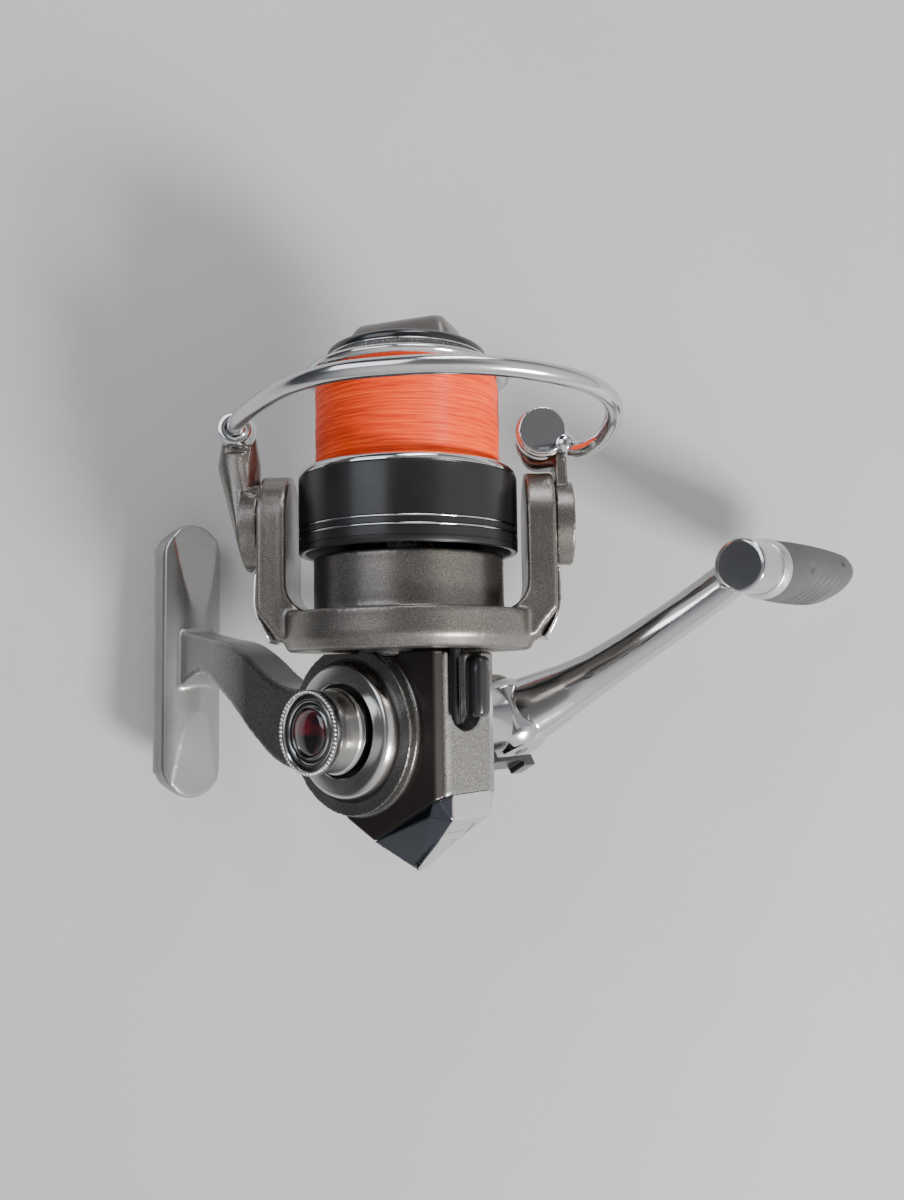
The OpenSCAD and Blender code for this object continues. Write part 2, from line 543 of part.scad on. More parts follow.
module rotor_nut() color("silver") on_spool(-0.55) difference() {
    cylinder(r = 5.6, h = 2.8, $fn = 6);
    translate([0, 0, -1]) cylinder(r = sleeve_r, h = 6);
}
module arm_cover(s) on_rotor() rotate(s) difference() {
    union() {
        across(arm_out + 0.02) linear_extrude(1.2) union() {
            translate([3.2, -6.6]) square([2.8, 13.2]);
            intersection() {
                translate([6, 0]) circle(r = 6.6);
                translate([3.2, -8]) square([12, 16]);
            }
        }
        intersection() {
            difference() {
                translate([0, 0, -16]) cylinder(r1 = 24.4, r2 = 29, h = 6.2);
                translate([0, 0, -16]) cylinder(r1 = 23.42, r2 = 28.02, h = 6.2);
            }
            translate([20, -7.6, -15.8]) cube([12, 15.2, 5]);
        }
    }
    across(arm_out - 2) translate([7.6, 0, 0]) cylinder(r = 0.85, h = 6);
    across(arm_out + 0.7) translate([7.6, 0, 0]) cylinder(r = 1.5, h = 6);
}
module arm_cover_left() color("silver") arm_cover(180);
module arm_cover_right() color("silver") arm_cover(0);
module arm_cover_screws() color("silver") for (s = [0, 180]) on_rotor() rotate(s) across(arm_out + 0.72)
    translate([7.6, 0, 0]) screw(1.4, 0.7, 0.75, 1.9);
module bail_spring() color("silver") on_rotor() across() translate([-pivot_y, 0, -arm_out + 0.2])
    rotate_extrude() for (i = [0:1]) translate([5.6 - i * 1.1, 0.45]) circle(r = 0.4);
module trip_lever() color("silver") on_rotor() {
    translate([22.2, -1, -15.7]) cube([1, 2, 15.8]);
    translate([12.6, -1, -15.7]) cube([9.7, 2, 1.1]);
}

// ---- bail ----
// Each bail arm is a disc on the pivot that carries a neck up to its end of the wire
module bail_disc(s) across(s > 0 ? arm_out + 0.35 : -arm_out - 3.55) translate([-pivot_y, 0, 0])
    cylinder(r = 7.6, h = 3.2);
module bail_arm_left() color("gray") on_rotor() difference() {
    union() {
        bail_disc(-1);
        hull() {
            translate([-28.6, 0, pivot_y - 6]) sphere(r = 1.2, $fn = 32);
            translate([-29, 0, pivot_y + 3]) sphere(r = 2, $fn = 32);
            translate([lever_lat[0] - 0.2, 0.6, lever_lat[1] - 6]) sphere(r = 3.9, $fn = 32);
            translate([lever_lat[0], -0.6, lever_lat[1]]) rotate([90, 0, 0]) cylinder(r = 2.8, h = 1, center = true, $fn = 32);
        }
        hull() {
            translate([lever_lat[0] - 0.2, 0.6, lever_lat[1] - 6]) sphere(r = 3.9, $fn = 32);
            across(-arm_out - 4.3) translate([-pivot_y, 0, 0]) cylinder(r = 5.2, h = 2, $fn = 32);
            translate([-29.1, 0, -2]) sphere(r = 0.7, $fn = 32);
        }
    }
    across() translate([-pivot_y, 0, -arm_out - 5]) cylinder(r = 1.3, h = 5);
    across() translate([-pivot_y, 0, -arm_out - 8]) cylinder(r = 2.4, h = 5.2);
    translate([-arm_out - 0.3, -10, pivot_y - 9]) cube([6, 20, 16]);
    translate([-40, -14.2, lever_lat[1] - 4]) cube([20, 12, 10]);
}
module roller_axis() translate([roller_lat, 0, roller_y]) rotate([90, 0, 0]) children();
module bail_arm_right() color("gray") on_rotor() difference() {
    union() {
        bail_disc(1);
        hull() {
            translate([arm_out + 1.75, 0, pivot_y + 1]) rotate([90, 0, 0]) cylinder(r = 1.2, h = 9, center = true, $fn = 32);
            translate([arm_out + 1.6, 0, pivot_y + 11.5]) rotate([90, 0, 0]) cylinder(r = 1, h = 7, center = true, $fn = 32);
        }
        hull() {
            translate([arm_out + 1.6, 1, pivot_y + 11.5]) rotate([90, 0, 0]) cylinder(r = 1, h = 5, center = true, $fn = 32);
            translate([roller_lat, 2.9, roller_y - 2]) rotate([90, 0, 0]) cylinder(r = 3.4, h = 2.4, center = true, $fn = 32);
        }
        roller_axis() translate([0, 0, -4.2]) cylinder(r = 4.2, h = 2.8);
    }
    across() translate([-pivot_y, 0, arm_out]) cylinder(r = 1.3, h = 5);
    across() translate([-pivot_y, 0, arm_out + 2.8]) cylinder(r = 2.4, h = 5.2);
    roller_axis() translate([0, 0, -6]) cylinder(r = 1.1, h = 6);
    roller_axis() translate([0, 0, -1.4]) cylinder(r = 4.2, h = 4.6);
}
module bail_pivot_screws() color("silver") on_rotor() for (s = [0, 180]) rotate(s)
    across(arm_out + 2.82) translate([-pivot_y, 0, 0]) screw(2.3, 1, 1.2, 5.6);
module line_roller() color("goldenrod") on_rotor() roller_axis() translate([0, 0, -1.1]) difference() {
    rotate_extrude() polygon([[1.3, 0], [3.6, 0], [3.6, 0.6], [2.6, 1.8], [2.6, 2.7], [3.6, 3.9], [3.6, 4.3],
        [1.3, 4.3]]);
    translate([0, 0, -1]) cylinder(r = 1.15, h = 8);
}
module roller_cap() color("silver") on_rotor() difference() {
    roller_axis() difference() {
        union() {
            translate([0, 0, 3.4]) cylinder(r = 4.7, h = 2.2);
            translate([0, 0, 5.5]) cylinder(r1 = 4.7, r2 = 4.2, h = 1.2);
            translate([4, -2.4, 5.2]) sphere(r = 2.1);
        }
        translate([0, 0, 3]) cylinder(r = 1.1, h = 2.6);
        translate([0, 0, -1]) cylinder(r = 5, h = 4.3);
    }
    tube([for (i = [0:6]) wire_path[i]], wire_d / 2, 16);
}
module roller_screw() color("silver") on_rotor() roller_axis() {
    translate([0, 0, -5.3]) cylinder(r = 2, h = 1.1);
    translate([0, 0, -4.3]) cylinder(r = 1.08, h = 9.8);
}
wire_path = smooth([[28.3, -4.6, 19], [31.4, -7, 17.8], [34.4, -11, 18.9], [35.5, -17, 20.9], [33.9, -23.5, 22.2],
    [29.6, -29.2, 23], [23.4, -33.7, 23.3], [15.6, -36.8, 23.5], [7, -38.3, 23.5], [-1, -37.6, 23.5],
    [-9.2, -35.2, 23.5], [-16.8, -29.6, 23.4], [-23.2, -21, 23.2], [-28.2, -12.4, 23.1],
    [-30.9, -5.2, 23.1]], 4);
module bail_wire() color("gainsboro") on_rotor() tube(wire_path, wire_d / 2, 16);
module wire_collar() color("silver") on_rotor() translate([lever_lat[0], -2.2, lever_lat[1]])
    rotate([90, 0, 0]) difference() {
        cylinder(r1 = 3.5, r2 = 2.9, h = 3.1);
        translate([0, 0, 1.6]) cylinder(r = 1.9, h = 3);
    }

// ---- spool and drag ----
module spool() color([0.12, 0.12, 0.13]) on_spool() rotate_extrude() difference() {
    polygon([[shaft_r + 0.06, 13.2], [skirt_r - 1.4, 13.2], [skirt_r - 1.4, 14.2], [arbor_r, 14.2],
        [arbor_r, 33.4], [14.2, 33.4], [14.2, 34.3], [12.4, 34.3], [12.4, 22], [shaft_r + 0.06, 22]]);
    translate([shaft_r, 17.8]) square([3, 1.6]);
}
module spool_skirt() color([0.12, 0.12, 0.13]) on_spool() rotate_extrude()
    polygon([[skirt_r - 1.4, 0.4], [skirt_r - 0.9, 0], [skirt_r - 0.3, 0], [skirt_r, 0.4], [skirt_r, 14.2],
        [skirt_r - 1.4, 14.2]]);
module skirt_rim() color("silver") on_spool() rotate_extrude()
    polygon([[arbor_r, 14.2], [skirt_r, 14.2], [skirt_r, 14.9], [skirt_r - 0.6, 15.5], [arbor_r, 15.5]]);
module spool_lip() color("silver") on_spool() rotate_extrude()
    polygon([[arbor_r, 31.9], [17.4, 31.9], [18.6, 32.3], [lip_r, 33], [18.6, 33.8], [16.6, 34.4],
        [14.3, 34.5], [14.2, 33.4], [arbor_r, 33.4]]);
module wound_line() color([0.9, 0.32, 0.14]) on_spool() rotate_extrude()
    polygon([[arbor_r, 15.5], [line_r - 0.8, 15.5], [line_r, 16.4], [line_r, 30.8], [line_r - 0.5, 31.9],
        [arbor_r, 31.9]]);
module drag_washers() color("tan") for (i = [0:3]) on_spool(22.3 + 1.5 * i) ring(i % 2 == 0 ? 12 : 11.4, 3, 1.2);
module drag_retainer() color("silver") on_spool(30) rotate_extrude() translate([11.8, 0]) circle(r = 0.5);
module drag_knob() color([0.4, 0.4, 0.42]) on_spool() difference() {
    union() {
        translate([0, 0, 34.8]) cylinder(r = 15, h = 1.7);
        rotate(20) hull() {
            translate([-6.2, -10.5, 36]) cube([12.4, 21, 1.6]);
            translate([-4.4, -8.6, 42]) cube([8.8, 17.2, 1.2]);
        }
    }
    translate([0, 0, 30]) cylinder(r = shaft_r + 0.06, h = 8);
}
module drag_plug() color([0.4, 0.4, 0.42]) on_spool(33.5) ring(11.4, shaft_r + 0.06, 1.3);
module drag_dome() color([0.12, 0.13, 0.15]) on_spool() difference() {
    rotate_extrude() polygon([[11.5, 36.5], [14.9, 36.5], [14.6, 37.1], [13.6, 37.8], [12, 38.3], [10, 38.6],
        [8, 38.7], [8, 37.1], [11.5, 37.1]]);
    rotate(20) hull() {
        translate([-6.4, -10.9, 36.4]) cube([12.8, 21.8, 1.4]);
        translate([-4.6, -9, 42]) cube([9.2, 18, 1.2]);
    }
}
module drag_spring() color("silver") on_spool() rotate_extrude() for (i = [0:3])
    translate([3.4, 29.4 + 1.1 * i]) circle(r = 0.5);

body_housing();
side_plate();
housing_screws();
cap_collar();
rear_cover();
rear_cover_screw();
pinion_bearing();
bearing_retainer();
retainer_screws();
crank_bearings();
oscillation_axle();
antireverse_lever();
antireverse_pawl();
drive_gear();
crank_shaft();
screw_cap();
cap_lens();
handle_hub();
fold_pin();
handle_arm();
knob_spindle();
lock_lever();
knob_collar();
handle_knob();
oscillation_gear();
main_shaft();
oscillation_slider();
shaft_pin();
pinion_gear();
ratchet_wheel();
rotor();
rotor_nut();
arm_cover_left();
arm_cover_right();
arm_cover_screws();
bail_spring();
trip_lever();
bail_arm_left();
bail_arm_right();
bail_pivot_screws();
wire_collar();
bail_wire();
roller_cap();
roller_screw();
line_roller();
spool();
spool_skirt();
skirt_rim();
spool_lip();
wound_line();
drag_washers();
drag_retainer();
drag_knob();
drag_plug();
drag_dome();
drag_spring();
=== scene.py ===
import json
import math

import bmesh
import bpy
import numpy as np
from mathutils import Matrix, Vector


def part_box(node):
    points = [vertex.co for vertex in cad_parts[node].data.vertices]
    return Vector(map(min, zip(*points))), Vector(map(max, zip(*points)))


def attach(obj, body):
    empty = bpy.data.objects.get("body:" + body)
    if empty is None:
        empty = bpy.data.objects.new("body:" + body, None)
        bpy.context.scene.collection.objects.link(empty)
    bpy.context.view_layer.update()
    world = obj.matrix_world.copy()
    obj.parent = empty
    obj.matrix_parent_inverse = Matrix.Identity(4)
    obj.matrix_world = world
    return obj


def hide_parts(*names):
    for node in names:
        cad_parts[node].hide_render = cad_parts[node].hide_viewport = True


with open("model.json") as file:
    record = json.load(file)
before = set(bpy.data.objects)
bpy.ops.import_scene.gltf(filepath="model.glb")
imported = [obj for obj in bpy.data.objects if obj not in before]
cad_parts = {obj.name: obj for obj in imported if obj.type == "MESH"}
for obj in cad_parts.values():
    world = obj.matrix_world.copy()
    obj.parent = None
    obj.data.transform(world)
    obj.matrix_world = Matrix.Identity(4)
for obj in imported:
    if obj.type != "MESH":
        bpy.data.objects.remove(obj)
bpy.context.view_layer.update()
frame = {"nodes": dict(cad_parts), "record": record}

NODES = frame["nodes"]
SLOT = {part["node"]: part["material_slot"] for part in frame["record"]["subparts"]}

# Sizes and places in millimetres, as in the CAD source
MM = 0.001
SKIRT = 17.3                        # the skirt's rear edge, in front of the foot's middle
DROP = 75.5                         # the spool's axis, below the rod's axis
CRANK_BACK = 31.4                   # the crank's axis, behind the skirt's rear edge
CRANK_RISE = 6                      # the crank's axis, above the spool's axis
ROTOR_TURN = math.radians(130)      # the rotor's angle at rest
CRANK_TURN = math.radians(150.7)    # the handle's angle at rest
PIN = 36.5                          # the fold pin, out along the crank's axis
ARM_LENGTH = 59.3                   # from the crank's axis to the knob's
KNOB_START = 45                     # the knob's zero, out along the crank's axis
WIRE_R = 1.5                        # the bail wire
LINE_LOW, LINE_HIGH = 15.5, 31.9    # the wound line, forward from the skirt's rear edge
ARBOR_R = 13.5                      # inside the rim, the line and the lip
BANDS = (3.0, 4.4)                  # the middles of the skirt's two bright bands

# ---------- material nodes; m is a material or a world ----------


def add(m, kind, **settings):
    node = m.node_tree.nodes.new("ShaderNode" + kind)
    for key, value in settings.items():
        setattr(node, key, value)
    return node


def link(m, a, b):
    m.node_tree.links.new(a, b)


def shader(m):
    return m.node_tree.nodes["Principled BSDF"]


def feed(m, name, socket):
    """Links a socket to one of the shader's inputs."""
    link(m, socket, shader(m).inputs[name])


def grey(v):
    return (v, v, v)


def times(colour, factor):
    return tuple(factor * v for v in colour)


def noise(m, scale, detail=3.0, stretch=(1, 1, 1), rough=0.5):
    mapping = add(m, "Mapping")
    mapping.inputs["Scale"].default_value = stretch
    node = add(m, "TexNoise")
    node.inputs["Scale"].default_value = scale
    node.inputs["Detail"].default_value = detail
    node.inputs["Roughness"].default_value = rough
    link(m, add(m, "TexCoord").outputs["Object"], mapping.inputs["Vector"])
    link(m, mapping.outputs["Vector"], node.inputs["Vector"])
    return node.outputs["Fac"]


def ramp(m, value, stops):
    node = add(m, "ValToRGB")
    elements = node.color_ramp.elements
    while len(elements) < len(stops):
        elements.new(0.5)
    for element, (at, colour) in zip(elements, stops):
        element.position = at
        element.color = (*colour, 1)
    link(m, value, node.inputs["Fac"])
    return node.outputs["Color"]


def span(m, value, low, high):
    """The value's way from low to high, as 0 to 1."""
    node = add(m, "MapRange")
    node.inputs["From Min"].default_value = low
    node.inputs["From Max"].default_value = high
    link(m, value, node.inputs["Value"])
    return node.outputs["Result"]


def along(m, output, axis, low, high):
    """The way from low to high along one of the row's axes, of the surface's place or its normal."""
    split = add(m, "SeparateXYZ")
    link(m, add(m, "TexCoord").outputs[output], split.inputs[0])
    return span(m, split.outputs[axis], low, high)


def mixed(m, a, b, factor=None, blend="MIX"):
    """The colour a with the colour b over it, by a socket or wholly."""
    node = add(m, "Mix", data_type="RGBA", blend_type=blend)
    link(m, a, node.inputs["A"])
    link(m, b, node.inputs["B"])
    if factor is None:
        node.inputs["Factor"].default_value = 1.0
    else:
        link(m, factor, node.inputs["Factor"])
    return node.outputs["Result"]


def base_socket(m):
    return shader(m).inputs["Base Color"].links[0].from_socket


def rough_by(m, value, smoothest, roughest, low=0.35, high=0.65):
    feed(m, "Roughness", ramp(m, value, [(low, grey(smoothest)), (high, grey(roughest))]))


def bump(m, height, strength, distance=0.0002):
    node = add(m, "Bump")
    node.inputs["Strength"].default_value = strength
    node.inputs["Distance"].default_value = distance
    link(m, height, node.inputs["Height"])
    feed(m, "Normal", node.outputs["Normal"])


# ---------- kinds of material ----------


def material(name, colour, metallic=0.0, rough=0.4, coat=0.0, coat_rough=0.05, sub=0.0, spec=0.5):
    m = bpy.data.materials.new(name)
    m.use_nodes = True
    inputs = shader(m).inputs
    inputs["Base Color"].default_value = (*colour, 1)
    inputs["Metallic"].default_value = metallic
    inputs["Roughness"].default_value = rough
    inputs["Coat Weight"].default_value = coat
    inputs["Coat Roughness"].default_value = coat_rough
    inputs["Specular IOR Level"].default_value = spec
    if sub:
        inputs["Subsurface Weight"].default_value = sub
        inputs["Subsurface Scale"].default_value = 0.001
    return m


def flake_paint(name, dark, mid, light, rough=0.34, size=5200):
    """Metallic paint: fine flakes that differ in brightness, under a thin coat."""
    m = material(name, mid, 0.85, rough, coat=0.25, coat_rough=0.25)
    flakes = noise(m, size, 2.0, rough=0.7)
    feed(m, "Base Color", ramp(m, flakes, [(0.3, dark), (0.52, mid), (0.62, mid), (0.72, light)]))
    rough_by(m, noise(m, 60, 4), rough - 0.07, rough + 0.08)
    bump(m, noise(m, size * 0.6, 2.0), 0.22, 0.00006)
    return m


def polished(name, colour, rough=0.07, worn=0.05):
    """Bright metal, a little duller in patches."""
    m = material(name, colour, 1.0, rough)
    rough_by(m, noise(m, 45, 6, rough=0.65), max(rough - 0.03, 0.02), rough + worn, 0.3, 0.75)
    bump(m, noise(m, 140, 2.0), 0.03, 0.0004)
    return m


def brushed(name, colour, rough=0.28, scale=900):
    """Dull metal with a fine surface."""
    m = material(name, colour, 1.0, rough)
    surface = noise(m, scale, 3)
    rough_by(m, surface, rough - 0.08, rough + 0.1, 0.3, 0.7)
    bump(m, surface, 0.08, 0.00008)
    return m


def moulded(name, colour, rough=0.5, grain=1800, depth=0.12, coat=0.0):
    """Plastic, rubber or felt: cloudy colour and a fine grain."""
    m = material(name, colour, 0.0, rough, coat=coat, coat_rough=0.12)
    clouds = [(0.3, times(colour, 0.85)), (0.7, times(colour, 1.15))]
    feed(m, "Base Color", ramp(m, noise(m, 120, 4), clouds))
    rough_by(m, noise(m, 70, 5), rough - 0.06, rough + 0.08)
    bump(m, noise(m, grain, 2.0), depth, 0.0001)
    return m


def lacquered(name, colour, metallic, rough, coat, coat_rough, patches, smoothest, roughest, grain, distance):
    """Dark paint under a coat, duller in patches."""
    m = material(name, colour, metallic, rough, coat=coat, coat_rough=coat_rough)
    rough_by(m, noise(m, patches, 6), smoothest, roughest)
    bump(m, noise(m, grain, 2), 0.05, distance)
    return m


# ---------- the reel's materials ----------


def casting_paint():
    """The casting's paint: light at the foot, with painted shade by height that darkens it on the stem and
    leaves it paler again on the body.
    """
    m = flake_paint("casting_paint", (0.16, 0.155, 0.15), (0.46, 0.45, 0.44), (0.95, 0.93, 0.92), size=3400)
    # Painted shade by height: the one paint made darker towards the stem, darkest on the stem itself.
    painted_shades = [(0.0, 0.62), (0.15, 0.5), (0.3, 0.36), (0.45, 0.3), (0.7, 0.2), (0.86, 0.9)]
    painted_shade = ramp(m, along(m, "Object", "Z", -0.085, -0.012), [(at, grey(v)) for at, v in painted_shades])
    feed(m, "Base Color", mixed(m, base_socket(m), painted_shade, blend="MULTIPLY"))
    foot = (0.36, 0.36, 0.357)
    plain = ramp(m, noise(m, 6500, 2), [(0.35, times(foot, 0.85)), (0.65, foot)])
    feed(m, "Base Color", mixed(m, base_socket(m), plain, along(m, "Object", "Z", -0.034, -0.016)))
    return m


def plate_gloss_painted_shade():
    """The side plate: the body's pewter in painted shade, as a dark gloss, with a ring of flake paint around
    the crank's boss.
    """
    # dark is painted shade: the plate is the same pewter as the ring, coloured as if in shadow.
    dark, flake = (0.022, 0.016, 0.014), (0.17, 0.165, 0.16)
    m = lacquered("plate_gloss_painted_shade", dark, 0.25, 0.3, 0.6, 0.12, 90, 0.22, 0.38, 1500, 0.00005)
    shift = add(m, "VectorMath", operation="SUBTRACT")
    shift.inputs[1].default_value = (0, (SKIRT - CRANK_BACK) * MM, (CRANK_RISE - DROP) * MM)
    flat = add(m, "VectorMath", operation="MULTIPLY")
    flat.inputs[1].default_value = (0, 1, 1)
    radius = add(m, "VectorMath", operation="LENGTH")
    link(m, add(m, "TexCoord").outputs["Object"], shift.inputs[0])
    link(m, shift.outputs["Vector"], flat.inputs[0])
    link(m, flat.outputs["Vector"], radius.inputs[0])
    across = span(m, radius.outputs["Value"], 0.0127, 0.0157)
    ring = ramp(m, across, [(0.0, grey(0)), (0.04, grey(1)), (0.9, grey(1)), (0.94, grey(0))])
    flakes = [(0.3, times(flake, 0.3)), (0.52, flake), (0.62, flake), (0.72, times(flake, 4))]
    over = add(m, "Mix", data_type="RGBA")
    over.inputs["A"].default_value = (*dark, 1)
    link(m, ring, over.inputs["Factor"])
    link(m, ramp(m, noise(m, 4300, 2, rough=0.7), flakes), over.inputs["B"])
    feed(m, "Base Color", over.outputs["Result"])
    feed(m, "Metallic", ramp(m, ring, [(0.0, grey(0.25)), (1.0, grey(0.85))]))
    return m


def wound_line():
    """Bright braid: long streaks around the spool, from deep red to pale orange."""
    m = material("wound_line", (0.9, 0.1, 0.02), 0.0, 0.36, coat=0.06, coat_rough=0.25, sub=0.1, spec=0.22)
    shader(m).inputs["Subsurface Radius"].default_value = (1.0, 0.3, 0.1)
    streaks = [(0.28, (0.4, 0.018, 0.004)), (0.42, (0.74, 0.045, 0.006)), (0.55, (0.95, 0.085, 0.008)),
               (0.66, (1.0, 0.15, 0.02)), (0.8, (1.0, 0.32, 0.1))]
    feed(m, "Base Color", ramp(m, noise(m, 300, 5, (0.3, 9.0, 0.3), 0.7), streaks))
    return m


def tinted_lens():
    m = material("tinted_lens", (0.02, 0.004, 0.006), 0.0, 0.08, coat=1.0, coat_rough=0.02)
    tints = [(0.42, (0.008, 0.006, 0.008)), (0.56, (0.16, 0.006, 0.016)), (0.7, (0.3, 0.012, 0.03))]
    feed(m, "Base Color", ramp(m, noise(m, 160, 2), tints))
    return m


def granular_band():
    """The drag knob's rough band, coarser than the paint's own surface."""
    m = flake_paint("granular_band", (0.05, 0.045, 0.043), (0.16, 0.15, 0.145), (0.6, 0.58, 0.56), 0.4, 3600)
    bump(m, noise(m, 2600, 3), 0.7, 0.0002)
    return m


def chrome_with_painted_reflection(name, colour, rough, worn, stops):
    """Polished metal with a painted dark reflection: its colour depends on how far the surface looks along
    the row's X, dark on the side that faces +X.
    """
    m = polished(name, colour, rough, worn)
    feed(m, "Base Color", ramp(m, along(m, "Normal", "X", -1.0, 1.0), stops))
    return m


def roller_cap_satin():
    m = brushed("roller_cap_satin", (0.47, 0.425, 0.4), 0.38)
    shader(m).inputs["Metallic"].default_value = 0.3
    return m


# Painted reflection: the rear cover and the screw cap turn dark where their surface faces the row's +X, as if
# mirroring a dark room.
COVER_PAINTED_REFLECTION = [(0.0, grey(0.62)), (0.52, grey(0.62)), (0.6, grey(0.5)), (0.68, (0.06, 0.065, 0.08)),
               (1.0, (0.04, 0.045, 0.055))]
CAP_PAINTED_REFLECTION = [(0.0, grey(0.72)), (0.75, grey(0.72)), (0.92, grey(0.2)), (1.0, grey(0.15))]
LOOKS = {
    "casting": casting_paint(),
    "plate": plate_gloss_painted_shade(),
    "line": wound_line(),
    "lens": tinted_lens(),
    "granular": granular_band(),
    "cap": roller_cap_satin(),
    "pewter": flake_paint("pewter_paint", (0.06, 0.054, 0.05), (0.19, 0.176, 0.163), (0.62, 0.58, 0.54),
                          size=6400),
    "black": lacquered("spool_black", (0.012, 0.012, 0.013), 0.3, 0.34, 0.25, 0.2, 110, 0.27, 0.42, 2400,
                       0.00004),
    "chrome": polished("chrome", (0.66, 0.665, 0.68)),
    "wire": polished("wire_chrome", (0.62, 0.62, 0.63), 0.14, 0.08),
    "arm": polished("arm_chrome", (0.56, 0.56, 0.575), 0.1, 0.1),
    "collar": polished("collar_chrome", (0.5, 0.49, 0.48), 0.16, 0.1),
    # The cover and the cap carry a painted dark reflection on their +X side.
    "cover": chrome_with_painted_reflection("cover_chrome", (0.6, 0.6, 0.62), 0.12, 0.08, COVER_PAINTED_REFLECTION),
    "cap_chrome": chrome_with_painted_reflection("cap_chrome", (0.7, 0.7, 0.72), 0.1, 0.1, CAP_PAINTED_REFLECTION),
    "steel": brushed("plain_steel", (0.62, 0.62, 0.63)),
    "zinc": brushed("die_cast_zinc", (0.6, 0.6, 0.58), 0.4, 300),
    "brass": brushed("brass", (0.75, 0.56, 0.27), 0.25),
    "satin": brushed("satin_silver", (0.62, 0.62, 0.62), 0.34),
    "trim": brushed("trim_silver", (0.86, 0.88, 0.9), 0.3),
    "dark": moulded("dark_moulding", (0.06, 0.062, 0.066), 0.42, 1400),
    "grip": moulded("grip_rubber", (0.058, 0.062, 0.066), 0.55, 2200, 0.2),
    "felt": moulded("felt", (0.42, 0.36, 0.27), 0.9, 2600, 0.5),
    "gloss": moulded("dark_gloss", (0.012, 0.013, 0.015), 0.22, 900, 0.03, 0.25),
    "knob": moulded("drag_bar", (0.13, 0.118, 0.11), 0.34, 1200, 0.06, 0.3),
}
# The slots whose material has another name
SLOT_LOOK = {"dark_plastic": "dark", "spool_black": "black", "dark_gloss": "gloss"}

for name, node in NODES.items():
    node.data.materials.clear()
    node.data.materials.append(LOOKS[SLOT_LOOK.get(SLOT[name], SLOT[name])])

# ---------- frames, in millimetres: each turns local places into the row's, in metres ----------


def spool_point(a, b, c):
    """Local X the row's X, local Y down, local Z forward from the skirt's rear edge."""
    return Vector((a, c + SKIRT, -b - DROP)) * MM


def turned_by(point, angle):
    """A frame turned about its own Z axis, by radians."""
    cos, sin = math.cos(angle), math.sin(angle)
    return lambda a, b, c: point(a * cos - b * sin, a * sin + b * cos, c)


rotor_point = turned_by(spool_point, ROTOR_TURN)


def side_point(a, b, c):
    """About the crank's axis: local X up, local Y forward, local Z outwards on the handle's side."""
    return Vector((-c, b + SKIRT - CRANK_BACK, a + CRANK_RISE - DROP)) * MM


# Local X along the handle's arm
crank_point = turned_by(side_point, CRANK_TURN)


def cap_point(a, b, c):
    """From the crank's axis, towards the screw cap's side."""
    return crank_point(a, b, -c)


def knob_point(a, b, c):
    return crank_point(ARM_LENGTH + a, b, KNOB_START + c)


def body_point(x, y, z):
    """The row's directions, from the spool's axis at the skirt's rear edge."""
    return Vector((x, y + SKIRT, z - DROP)) * MM


def collar_point(a, b, c):
    """At the wire's end on the left bail arm."""
    return rotor_point(-31 + a, -2.2 - c, 23.1 + b)


def roller_point(a, b, c):
    """About the line roller's axis."""
    return rotor_point(24.4 + a, -c, 21.4 + b)


DRUM_LOOK = Vector((math.cos(math.radians(20)), math.sin(math.radians(20))))


def drum_point(a, b, c):
    """On the arm's drum: local Z along DRUM_LOOK, which the screw faces, and local Y outwards."""
    return crank_point(DRUM_LOOK.x * c - DRUM_LOOK.y * a, DRUM_LOOK.y * c + DRUM_LOOK.x * a, 35.6 + b)


# ---------- mesh helpers ----------


def outward(mesh):
    """Turns the faces so that they point out."""
    bm = bmesh.new()
    bm.from_mesh(mesh)
    bmesh.ops.recalc_face_normals(bm, faces=bm.faces)
    bm.to_mesh(mesh)
    bm.free()


def as_piece(name, mesh, look, body, stands_for):
    """Puts a mesh in the scene, on its body."""
    mesh.materials.append(LOOKS[look])
    o = bpy.data.objects.new(name, mesh)
    bpy.context.scene.collection.objects.link(o)
    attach(o, body)
    if stands_for:
        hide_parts(*stands_for)


def piece(name, verts, faces, look, body, stands_for=(), slot=None, angle=35):
    """A piece from its points and faces, with edges sharper than angle left sharp."""
    mesh = bpy.data.meshes.new(name)
    mesh.from_pydata([tuple(v) for v in verts], [], faces)
    mesh.validate()
    mesh.update()
    mesh.shade_smooth()
    mesh.set_sharp_from_angle(angle=math.radians(angle))
    outward(mesh)
    as_piece(name, mesh, look, body, stands_for)


def quads(rows, across, closed=False):
    """Faces between rows of points that close on themselves; closed also joins the last row to the first."""
    return [(i * across + k, i * across + (k + 1) % across,
             (i + 1) % rows * across + (k + 1) % across, (i + 1) % rows * across + k)
            for i in range(rows if closed else rows - 1) for k in range(across)]


def caps(rows, across):
    """The faces that close the first row and the last."""
    return [tuple(range(across))[::-1], tuple((rows - 1) * across + k for k in range(across))]


def turned(name, profile, point, look, body, stands_for=(), slot=None, steps=160, angle=35):
    """A closed profile of (radius, height) turned about a frame's Z axis."""
    verts = [point(r * math.cos(2 * math.pi * k / steps), r * math.sin(2 * math.pi * k / steps), z)
             for k in range(steps) for r, z in profile]
    piece(name, verts, quads(steps, len(profile), True), look, body, stands_for, slot, angle)


def curve(points, steps=8):
    """A smooth curve through points."""
    p = [np.array(q, float) for q in points]
    last = len(p) - 1
    out = []
    for i in range(last):
        a, b, c, d = p[max(i - 1, 0)], p[i], p[i + 1], p[min(i + 2, last)]
        for k in range(steps):
            t = k / steps
            out.append(0.5 * (2 * b + (c - a) * t + (2 * a - 5 * b + 4 * c - d) * t * t
                              + (3 * b - a - 3 * c + d) * t ** 3))
    out.append(p[last])
    return np.array(out)


def squarish(v, power):
    """A sine or cosine for a rounded square; with power 2 it is a circle's own."""
    return math.copysign(abs(v) ** (2 / power), v)


